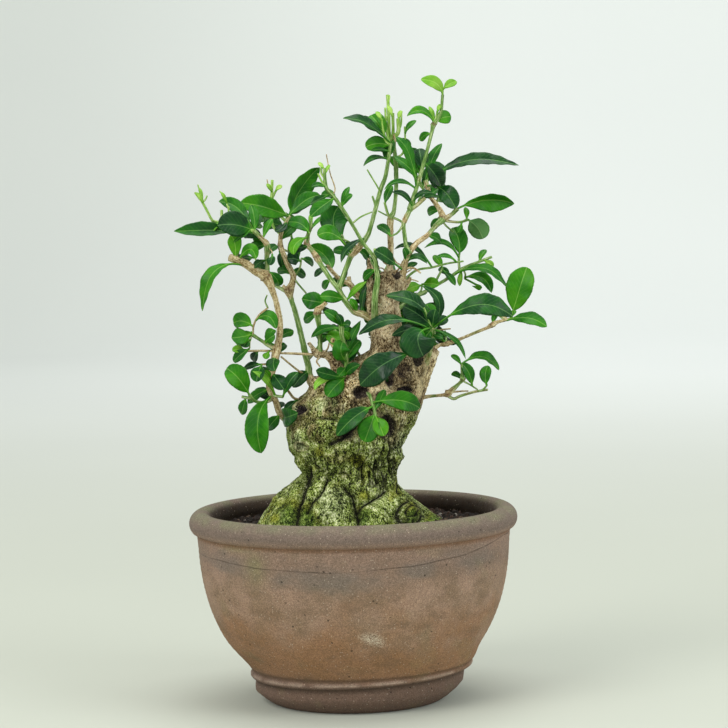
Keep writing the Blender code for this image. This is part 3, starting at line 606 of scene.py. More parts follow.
STUBS = {  # x, z, depth and half width
    "spur_right": ((34, 174, 0, 8), (40, 182, 0, 6), (45, 188.4, 0, 3.6), (48, 191.5, 0, 2.2)),
    "stub_left": (
        (0, 168, -4, 6), (-4.5, 178, -5, 4.6), (-8.5, 186, -6, 3.4), (-12.5, 190, -6, 2.7),
        (-18, 190.6, -6, 2.2), (-20, 193, -7, 1.5), (-22.3, 196.8, -8, 1.1),
    ),
    "stub_top": (
        (16, 205, -3, 3), (12.4, 214, -5, 2.1), (12, 222, -6, 1.9), (12, 230, -6, 1.9),
        (12.4, 236.5, -6, 2), (11.9, 239.5, -6, 0.9), (11.7, 242.4, -6, 0.4),
    ),
    "stub_upper": (
        (24, 226, -6, 2.6), (23.4, 232, -8, 1.8), (23, 237, -8.5, 1.5), (23.2, 239, -8.6, 1.2),
    ),
    "stub_side": ((29, 224, 0, 2.4), (32.4, 228, -1, 1.5), (34.2, 231.6, -1, 1.1)),
}
ROOT_KNOB = (31, 101.2, 6, 5.6)  # x, z, half width and half height


def drawn(x, z, depth):
    """The point at this depth that the front view shows at x, z."""
    flat = np.array((x, 0.0, z))
    return flat + (flat - EYE) * (depth / EYE_AWAY)


def seen(points):
    """x and z at which the front view shows each point."""
    share = EYE_AWAY / (EYE_AWAY + points[:, 1])
    return points[:, 0] * share, EYE[2] + (points[:, 2] - EYE[2]) * share


def off_line(x, z, line):
    """How far each x, z lies from a line of short straight runs."""
    least = np.full(len(x), 1e9)
    for (ax, az), (bx, bz) in zip(line, line[1:]):
        run = np.array((bx - ax, bz - az))
        share = np.clip(((x - ax) * run[0] + (z - az) * run[1]) / (run @ run), 0, 1)
        least = np.minimum(least, np.hypot(x - ax - share * run[0], z - az - share * run[1]))
    return least


def as_units(rows):
    """Each row of numbers as a direction of length 1."""
    return rows / np.linalg.norm(rows, axis=1)[:, None]


def sweep(route, radii, around, step):
    """A smooth route's middle points, and the rays from them to a ring about each."""
    line = smooth_line(np.column_stack([route, radii]), step)
    middle, thick = line[:, :3], np.maximum(line[:, 3], 0.2)
    ahead = as_units(np.gradient(middle, axis=0))
    side = np.cross(ahead[0], (0.3, 1.0, 0.2))
    right, up = np.cos(full_turn(around)), np.sin(full_turn(around))
    rays = []
    for way, half in zip(ahead, thick):
        side = side - way * (side @ way)
        side = side / np.linalg.norm(side)
        rays.append((np.outer(right, side) + np.outer(up, np.cross(way, side))) * half)
    return middle, np.array(rays)


def tube_of(middle, rays):
    """Points and faces of a tube with rounded ends, from its middle line and its rays."""
    rows, around = rays.shape[:2]
    grid = middle[:, None] + rays
    ends = (
        middle[0] - (middle[1] - middle[0]) * 0.3, middle[-1] + (middle[-1] - middle[-2]) * 0.3,
    )
    faces = sheet_faces(rows, around)
    first, last = rows * around, (rows - 1) * around
    for i in range(around):
        j = (i + 1) % around
        faces.append([j, i, first])
        faces.append([last + i, last + j, first + 1])
    return np.vstack([grid.reshape(-1, 3), ends]), faces


TRUNK_AROUND = 250
heights = np.concatenate([
    np.arange(84, 174, 0.52), np.arange(174, 194, 0.24), np.arange(194, 235, 0.55), [235.0],
])
up, left, right = np.array(OUTLINE).T
left, right = np.interp(heights, up, left), np.interp(heights, up, right)
depth = np.interp(heights, *np.array(TRUNK_DEPTH).T)
turn = full_turn(TRUNK_AROUND)
half = ((right - left) / 2)[:, None]
grid = np.stack([
    ((left + right) / 2)[:, None] + half * np.cos(turn), depth[:, None] * np.sin(turn),
    np.repeat(heights[:, None], TRUNK_AROUND, 1),
], -1)
angle = np.broadcast_to(turn, grid.shape[:2])
lobes = fade(grid[..., 2], 122.0, 98.0) * 0.13
grid[..., 1] *= 1.0 + lobes * (np.cos(5 * angle) - 1.0) * np.sin(angle) ** 2
along_row = np.roll(grid, -1, 1) - np.roll(grid, 1, 1)
normals = as_units(np.cross(along_row, np.gradient(grid, axis=0)).reshape(-1, 3))
shells = [(grid.reshape(-1, 3), normals, np.zeros(len(normals)))]
trunk_faces = sheet_faces(len(heights), TRUNK_AROUND)
trunk_faces += end_faces(len(heights), TRUNK_AROUND)
for stub in STUBS.values():
    middle, rays = sweep([drawn(x, z, d) for x, z, d, _ in stub], [r for *_, r in stub], 40, 0.4)
    points, faces = tube_of(middle, rays)
    out = np.vstack([rays.reshape(-1, 3), [rays[0, 0] * 0.01, rays[-1, 0] * 0.01]])
    count = sum(len(points) for points, *_ in shells)
    trunk_faces += [[count + k for k in face] for face in faces]
    shells.append((points, as_units(out), np.ones(len(points))))
trunk_points, normals, on_stub = (np.concatenate(rows) for rows in zip(*shells))
x, z = seen(trunk_points)
height, front = trunk_points[:, 2], trunk_points[:, 1] < 4.0
smoother = np.maximum(fade(height, 186, 200), on_stub * 0.9)
furrowed = 1 - 0.7 * smoother
sway = clouds(trunk_points, 9.0, 2, 5.0)
flow = trunk_points + sway[:, None] * np.array((2.2, 2.2, 1.0))
rough = 0.30 * clouds(trunk_points, 1.9, 3, 1.0) + 0.2 * clouds(trunk_points, 0.9, 2, 8.0)


def patch_on(side, spot, ragged, outer, inner):
    """1 inside a patch on one side of the trunk, fading to 0 at its ragged edge."""
    return fade(np.where(side, reach_of(x, z, *spot) + ragged, FAR_OFF), outer, inner)


lumps = 1.3 * clouds(trunk_points, 17.0, 2) + 0.6 * clouds(trunk_points, 6.5, 2, 3.0)
lumps *= 1.0 + 1.1 * np.abs(normals[:, 1])
for *spot, proud in ROOT_LOBES:
    lumps += proud * patch_on(front, spot, 0.0, 1.2, 0.2) * np.abs(normals[:, 1])
flank = fade(height, 112, 121) * fade(height, 166, 150) * np.where(front, fade(x, -12, 6), 0.8)
patches = fade(clouds(trunk_points, 12.0, 2, 2.0), -0.05, 0.35)
upright = np.abs(clouds(flow, (3, 3, 12), 2, 11.0))
nests = [noise.voronoi(spot)[0] for spot in (flow / (3.0, 3.0, 4.6)).tolist()]
plate_edge = np.array([two[1] - two[0] for two in nests])
crack = fade(upright, 0.12, 0.02) * np.maximum(flank, 0.6 * patches)
crack = np.maximum(crack, 0.5 * patches * fade(plate_edge, 0.12, 0.02)) * (1 - 0.6 * smoother)
fissured = np.maximum(flank, 0.55 * patches) * furrowed
push = lumps * (1 - 0.6 * smoother) - 0.9 * crack + rough * (1 - 0.4 * smoother)
off_seam = off_cut = np.full(len(x), FAR_OFF)
for width, deep, *line in SEAMS:
    gap = np.where(front, off_line(x + 0.8 * sway + 0.5 * rough, z, line), 99.0)
    push -= deep * bell(gap, width)
    off_seam = np.minimum(off_seam, gap / width)
pale, bare, green, shaded, lichen = (np.zeros(len(x)) for _ in range(5))
for width, proud, *line in SMOOTH_RIDGES:
    near = bell(np.where(front, off_line(x, z, line), 99.0), width)
    push += proud * near
    pale = np.maximum(pale, near)
for side, wounds in ((front, WOUNDS), (~front, BACK_WOUNDS)):
    for *spot, deep, dark in wounds:
        reach = np.where(side, reach_of(x, z, *spot) + 0.3 * sway + 0.35 * rough, FAR_OFF)
        push += -1.25 * deep * fade(reach, 1.05, 0.5) + 0.85 * bell(reach - 1.2, 0.2)
        bare = np.maximum(bare, dark * fade(reach, 1.7, 1.4))
        off_cut = np.minimum(off_cut, reach)
        pale = np.maximum(pale, 0.75 * bell(reach - 1.25, 0.18))
knob = np.where(front, reach_of(x, z, *ROOT_KNOB), FAR_OFF)
push += 3.0 * fade(knob, 1.1, 0.75) - bell(knob - 0.5, 0.12)
knob_rings = np.minimum(np.abs(knob - 1.1), np.abs(knob - 0.5) + 0.03)
off_seam = np.minimum(off_seam, knob_rings * 3.4)
for spot in GREEN_PATCHES:
    green = np.maximum(green, patch_on(front, spot, 0.5 * sway, 1.25, 0.4))
mossy = fade(clouds(trunk_points, 11.0, 3, 21.0), 0.2, 0.5) * fade(height, 150, 120)
green = np.maximum(green, 0.8 * mossy)
# Painted shade on the moss near the soil.
for spot in SHADED_MOSS:
    shaded = np.maximum(shaded, patch_on(front, spot, 0.4 * sway, 1.25, 0.5))
for spot in LICHEN:
    lichen = np.maximum(lichen, patch_on(front, spot, 0.4 * sway, 1.25, 0.5))
lichen = np.maximum(lichen, 0.8 * fade(clouds(trunk_points, 15.0, 3, 41.0), 0.15, 0.5) * ~front)
neck = smoother * fade(clouds(trunk_points, (7, 7, 12), 3, 17.0), -0.9, -0.2)
low_left = np.where(front, 11 * fade(x, 6, -12), 0.0)
moss = fade(height - low_left + 9 * clouds(trunk_points, 13.0, 3, 4.0), 170, 146)
stain = fade(clouds(flow, (7, 7, 9), 3, 15.0), 0.0, 0.45) * fade(height, 132, 152) * furrowed
for *spot, strong in SOOT_PATCHES:
    soot = patch_on(front, spot, 0.6 * sway + 0.6 * rough, 1.3, 0.5)
    stain = np.maximum(stain, strong * soot)
trunk_points = trunk_points + normals * (push * np.where(height < 92, 0.3, 1.0))[:, None]
torn = fade(height, 227, 234) * (1 - on_stub)
trunk_points[:, 2] += 2.2 * torn * clouds(trunk_points * (1.0, 1.0, 0.3), 2.4, 2, 31.0)

BARK_RAMPS = {  # colours from the dark gaps between the grains to the pale grains
    "mossy": (
        (0.37, "101205"), (0.43, "4c5a1b"), (0.48, "80943a"), (0.6, "a0b356"), (0.68, "c3cf83"),
        (0.76, "eceec0"),
    ),
    "lush": (
        (0.37, "131605"), (0.43, "4a5212"), (0.5, "757d1e"), (0.62, "8f952f"), (0.78, "b4b850"),
    ),
    "grey_green": (
        (0.37, "1c2011"), (0.43, "536036"), (0.49, "869457"), (0.61, "abb97a"), (0.76, "e9eec4"),
    ),
    "dark_green": (
        (0.37, "0b1204"), (0.45, "2c4413"), (0.55, "48661f"), (0.66, "61812e"), (0.8, "93ab5c"),
    ),
    "brown": (
        (0.33, "20160c"), (0.41, "6a512c"), (0.5, "aa8e5c"), (0.61, "d6c190"), (0.78, "f4e7c4"),
    ),
    "plain": (
        (0.34, "5c4630"), (0.4, "a08762"), (0.5, "c0aa84"), (0.65, "d0bc98"), (0.78, "e6d8b8"),
    ),
    "soot": ((0.33, "140e08"), (0.45, "42301d"), (0.58, "776040"), (0.78, "b49f75")),
}
old_bark, tree, shader = new_finish("furrowed_bark", 0.92, Specular_IOR_Level=0.2)
swirl = add(tree, "TexNoise", {"Vector": places(tree), "Scale": 75.0, "Detail": 2.0})
swirl = {0: swirl.outputs["Color"], 1: (0.5, 0.5, 0.5)}
swirl = add(tree, "VectorMath", swirl, operation="SUBTRACT").outputs[0]
swirl = add(tree, "VectorMath", {0: swirl, "Scale": 0.0028}, operation="SCALE").outputs[0]
swirl = add(tree, "VectorMath", {0: places(tree), 1: swirl}, operation="ADD").outputs[0]
here, upwards = (
    add(tree, "Mapping", {"Vector": swirl, "Scale": (1.0, 1.0, tall)}).outputs[0]
    for tall in (0.7, 0.24)
)
spots, small = grit_of(tree, 7.0, 1.1, 1.5, here), grit_of(tree, 2.4, 0.6, 0.95, here)
grains = plus(
    plus(times(spots["Grain"], 0.32), times(small["Grain"], 0.32)),
    plus(times(spots["Cloud"], 0.2), times(small["Cloud"], 0.23)),
)
bark = {name: ramp_of(grains, *steps) for name, steps in BARK_RAMPS.items()}
ragged = times(small["Grain"], 0.3)
off_seams = plus(mark_of(tree, "off_seam"), ragged)
wander = {"Vector": upwards, "Scale": 205.0, "Detail": 2.5, "Roughness": 0.5}
wander = reckon("ABSOLUTE", minus(add(tree, "TexNoise", wander).outputs[0], 0.5))
fissure = times(between(wander, 0.036, 0.014), mark_of(tree, "fissured"))
# Dark fissures, and painted shade at the bottoms of the deep seams.
split = reckon("MAXIMUM", times(fissure, 0.85), between(off_seams, 0.62, 0.36))
pits = times(small["Speck"], between(small["Lot"], 0.42, 0.38))
scar = ramp_of(small["Grain"], (0.2, "110d0e"), (0.55, "2c2426"), (0.9, "574b49"))
hollow = between(plus(mark_of(tree, "off_cut"), ragged), 1.25, 1.1)
color = layered(
    bark["brown"], (mark_of(tree, "neck", 0.95), bark["plain"]),
    (mark_of(tree, "moss"), bark["mossy"]), (mark_of(tree, "green"), bark["lush"]),
    (mark_of(tree, "lichen", 0.75), bark["grey_green"]),
    # The dark green is painted shade on the moss near the soil.
    (mark_of(tree, "shaded", 0.8), bark["dark_green"]), (mark_of(tree, "pale", 0.7), "d6c59b"),
    (mark_of(tree, "stain", 0.8), bark["soot"]), (mark_of(tree, "crack", 0.7), "1d190d"),
    # Painted shade: a wide dark band along the deep seams and the rings of the knob, then the
    # seams' dark cores.
    (times(between(off_seams, 1.9, 0.5), 0.5), "1c1c0d"), (times(split, 0.93), "14110a"),
    (times(pits, 0.8), "1d1a0d"), (times(hollow, mark_of(tree, "bare")), scar),
)
color = in_shade(color, between(spots["Cloud"], 0.0, 1.0, 0.86, 1.12))
coat(shader, color, between(small["Cloud"], 0.0, 1.0, 0.8, 0.96))
raise_surface(shader, minus(grains, split), 0.6)
trunk = make_piece(
    "trunk_old", trunk_points, trunk_faces, old_bark,
    crack=crack, fissured=fissured, off_seam=off_seam, off_cut=off_cut, neck=neck,
    moss=moss, green=green, shaded=shaded, lichen=lichen, pale=pale, bare=bare, stain=stain,
)
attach(trunk, "root")
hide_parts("trunk")


# Branches and stems left after the last hard cutting. Older wood is brown and corky, and the
# growth of the last two years is smooth and green. Each swells at the nodes that leaves grew
# from, and is seated in the old wood or in the stem that bears it.
TRUNK_STEMS = {  # how brown it is along its length, then x, z, depth and half width
    "branch_left_low": (((0, 1), (1, 1)), (
        (-24, 149, 4, 3), (-34, 154, 1, 2.1), (-38.6, 158, -2, 1.8), (-41, 165, -5, 1.7),
        (-44.3, 173, -8, 1.8), (-42.3, 182, -9, 1.8), (-40.3, 190.5, -8, 2.3),
        (-38.3, 199, -6, 1.9), (-37.6, 205.5, -5, 1.7), (-38, 212, -5, 1.6),
        (-39.4, 219.5, -6, 1.5), (-40.8, 224.5, -7, 1.6), (-44.6, 233.3, -9, 2.8),
        (-50, 236.5, -12, 2.3), (-56, 241, -16, 2.2), (-64, 244.4, -21, 2),
    )),
    "branch_left": ((
        (0, 1), (0.1, 0.9), (0.13, 0.15), (0.5, 0.2), (0.57, 1), (0.8, 0.8), (1, 0.4),
    ), (
        (-16, 168, 2, 3.4), (-21.8, 177, 2, 2.4), (-22.6, 184, 3, 1.8), (-24, 190.2, 4, 1.8),
        (-25.7, 198.7, 6, 1.6), (-27.5, 207, 8, 1.5), (-29.4, 215, 10, 1.4),
        (-31.3, 221.3, 12, 1.5), (-32, 225.5, 13, 2.4), (-30.4, 229.4, 14, 1.8),
        (-29.8, 234, 15, 1.6), (-32.5, 240, 17, 1.6), (-35.6, 248.5, 21, 1.3),
        (-36.2, 255, 24, 1.2), (-34, 261, 26, 1.1), (-31, 266.5, 28, 1),
    )),
    "stem_left_cut": (((0, 0.5), (0.12, 0.15), (0.7, 0.2), (0.8, 1), (1, 0.7)), (
        (-15.4, 189.4, -6, 1.5), (-15.9, 194, -6, 1.3), (-15.8, 198, -7, 1.3),
        (-16.3, 206, -9, 1.3), (-17, 213.5, -11, 2.1), (-14.6, 216.2, -12, 1.4),
        (-12, 218.6, -13, 1.1),
    )),
    "stem_front_left": (((0, 0.5), (0.3, 0.25), (1, 0.15)), (
        (-1.2, 172, -8, 1.8), (-1.7, 184, -14, 1.3), (-2, 193.6, -17, 1.2), (-3.8, 200, -19, 1.2),
        (-4, 205.8, -21, 1.6),
    )),
    "stem_diagonal": (((0, 0.3), (0.25, 0.12), (1, 0)), (
        (14.6, 206, -2, 2.3), (14.4, 216, -12.5, 1.8), (15, 223, -14.5, 1.7),
        (16.3, 230, -15, 1.5), (15.8, 236, -16, 1.2), (15, 242, -17, 1.2), (8.7, 251, -20, 1),
        (3, 261.3, -25, 0.95), (-2.5, 270.3, -29, 1.1), (-7, 277, -32, 1),
        (-10.6, 281.5, -34, 1.1), (-11.5, 292, -35, 0.8),
    )),
    "branch_top_left": (((0, 1), (1, 0.85)), (
        (15, 211, 2, 2.4), (9.6, 217, 3, 1.6), (4.1, 224, 4, 1.4), (1.2, 228.3, 5, 1.6),
        (-3.7, 230.7, 7, 1.2), (-7.4, 234.5, 9, 1.1), (-11.3, 239, 10, 1),
    )),
    "stem_left_long": ((
        (0, 0.65), (0.15, 0.55), (0.25, 0.3), (0.6, 0.12), (0.66, 0.85), (0.7, 0.85), (0.74, 0.3),
        (0.8, 0.85), (0.84, 0.3), (1, 0.15),
    ), (
        (16, 207, -2, 2.3), (8, 211.6, -5, 2), (3, 213.5, -6, 1.8), (-2.3, 220.5, -6, 1.6),
        (-5.1, 225.6, -5, 1.4), (-9.2, 231.2, -3, 1.3), (-13.3, 237.6, -1, 1.3),
        (-16.7, 243.4, 1, 1.7), (-19.4, 247.6, 2, 1.3), (-21.8, 251, 3, 1.7), (-21, 256, 4, 1.1),
        (-19.8, 260, 5, 1.2), (-19, 265, 6, 0.7),
    )),
    "stem_center": (((0, 1), (0.42, 1), (0.48, 0.15), (0.9, 0.1), (1, 0.9)), (
        (22.5, 224, 1, 2.3), (23.4, 236, 2, 1.7), (23.9, 248, 2, 1.6), (24, 263, 2, 1.8),
        (26, 267.5, 2, 1.2), (27.5, 279, 2, 1.1), (27.7, 292.5, 2, 1.3), (27, 303, 2, 1),
        (27.6, 309.5, 2, 1.3),
    )),
    "stem_right": ((
        (0, 0.9), (0.25, 0.6), (0.3, 0.2), (0.55, 0.15), (0.62, 0.6), (0.7, 0.3), (1, 0.2),
    ), (
        (28.6, 226, -3, 2.3), (31.5, 238.8, -7, 1.6), (33.4, 243.6, -8, 2.1),
        (32.2, 249.6, -8, 1.2), (31.2, 259.5, -9, 1.2), (31.8, 262.3, -9, 1.5),
        (34.4, 267.5, -10, 1.3), (35.2, 269.2, -10, 1.8), (38.7, 280, -11, 1.1),
        (40.1, 285.3, -12, 1.4),
    )),
    "branch_right_lateral": (((0, 0.5), (0.1, 0.15), (1, 0.1)), (
        (24, 211.5, 4, 2), (31, 217.5, 8, 1.2), (35.5, 220, 10, 1.1), (48, 226.5, 15, 0.95),
        (56, 231, 18, 0.95), (63, 235.5, 20, 0.95), (72, 239, 22, 0.85), (79, 241.5, 24, 0.75),
    )),
    "branch_right_mid": (((0, 1), (0.6, 0.6), (0.75, 1), (1, 0.3)), (
        (43, 189, 1, 2), (49, 193.6, 3, 1), (53.1, 194.3, 2, 1.3), (61.5, 197.2, 0, 0.85),
        (70, 200.6, -3, 0.85), (75.5, 202.6, -5, 0.9), (78.7, 204.5, -6, 1.5),
        (82.3, 206, -7, 0.9), (89, 207.4, -9, 0.8),
    )),
    "branch_right_low": (((0, 1), (0.3, 0.5), (0.45, 0.9), (0.6, 0.4), (1, 0.2)), (
        (34, 164.2, 0, 2.2), (42, 165.7, -2, 1), (50.8, 166.4, -4, 0.95), (53.7, 167.3, -5, 1.7),
        (60.3, 173, -7, 0.9), (61.6, 174.8, -7, 1.4), (61.4, 178.6, -8, 0.75),
        (61.4, 183.4, -8, 0.7),
    )),
    "stem_front_right": (((0, 0.9), (0.3, 0.5), (1, 0.3)), (
        (39, 178, -1, 2.8), (43.4, 188, -13, 1.5), (45, 195, -20, 1.3), (46, 203.8, -26, 1.7),
    )),
    "twig_trunk_front": (((0, 0.3), (1, 0)), (
        (9.5, 169, -19, 1.2), (11, 166, -30, 0.9), (12.6, 160.5, -33, 0.85),
        (13.7, 155.3, -34, 0.9),
    )),
}
SIDE_STEMS = {  # the same, of stems that fork from others
    "stem_left_top": (((0, 0.8), (0.1, 0.3), (0.6, 0.35), (0.7, 0.9), (1, 0.3)), (
        (-44.6, 233, -9, 1.6), (-43.7, 238, -7, 1.3), (-43.9, 243.5, -8, 1.3),
        (-43.6, 250.6, -11, 1.8), (-46, 254, -14, 1.2), (-50.6, 258.6, -18, 1.2),
    )),
    "twig_left_low": (((0, 0.6), (1, 0.1)), (
        (-41.6, 166.6, -5, 0.9), (-47, 164.6, -8, 0.9), (-52, 165.3, -10, 0.9),
        (-55.4, 169, -12, 0.9),
    )),
    "twig_left_mid": (((0, 0.6), (1, 0.2)), (
        (-39.6, 194, -7, 1), (-44, 195.6, -10, 1), (-48, 198.6, -12, 0.9), (-53, 202, -14, 1.1),
    )),
    "stem_left_riser": ((
        (0, 0.4), (0.1, 0.15), (0.2, 0.2), (0.26, 0.9), (0.31, 0.85), (0.36, 0.15), (1, 0),
    ), (
        (-4.9, 225.3, -5, 1.4), (-2, 233.7, -4, 1.4), (0, 238.8, -3, 1.4), (2, 243.5, -3, 1.6),
        (5.4, 247.2, -3, 2), (11.3, 254.6, -5, 1.4), (14, 262, -6, 1.2), (18.9, 279, -6, 1.2),
        (22.1, 287.6, -5, 1.1), (25.2, 304.6, -4, 1),
    )),
    "stem_right_tall": (((0, 0.4), (0.1, 0.05), (1, 0)), (
        (40, 284, -12, 1.2), (44, 297, -13, 1), (47.5, 309.5, -14, 1), (48.9, 314.6, -14, 1.3),
        (52.7, 320.5, -14, 0.9), (54, 330.4, -14, 0.8),
    )),
    "stem_right_fork": ((
        (0, 1), (0.3, 0.75), (0.38, 0.3), (0.55, 0.3), (0.62, 1), (0.8, 0.9), (1, 0.4),
    ), (
        (32.6, 243, -8, 1.6), (38, 249.8, -4, 1.5), (43.9, 254, 2, 1.3), (48.5, 259, 7, 1.3),
        (52.4, 262.8, 11, 2), (51.4, 267.6, 14, 1.5), (46.2, 275.5, 17, 1.1), (43.8, 284, 19, 1.4),
    )),
    "twig_right_top": (((0, 0.7), (1, 0.3)), (
        (52, 262.6, 11, 1.2), (57.5, 265.2, 10, 1.1), (60.8, 268.3, 9, 1.3),
    )),
    "twig_right_mid": (((0, 0.6), (1, 0.1)), (
        (52.2, 262, 11, 0.8), (61.5, 260.9, 14, 0.7), (66.4, 262.2, 15, 0.9),
    )),
}
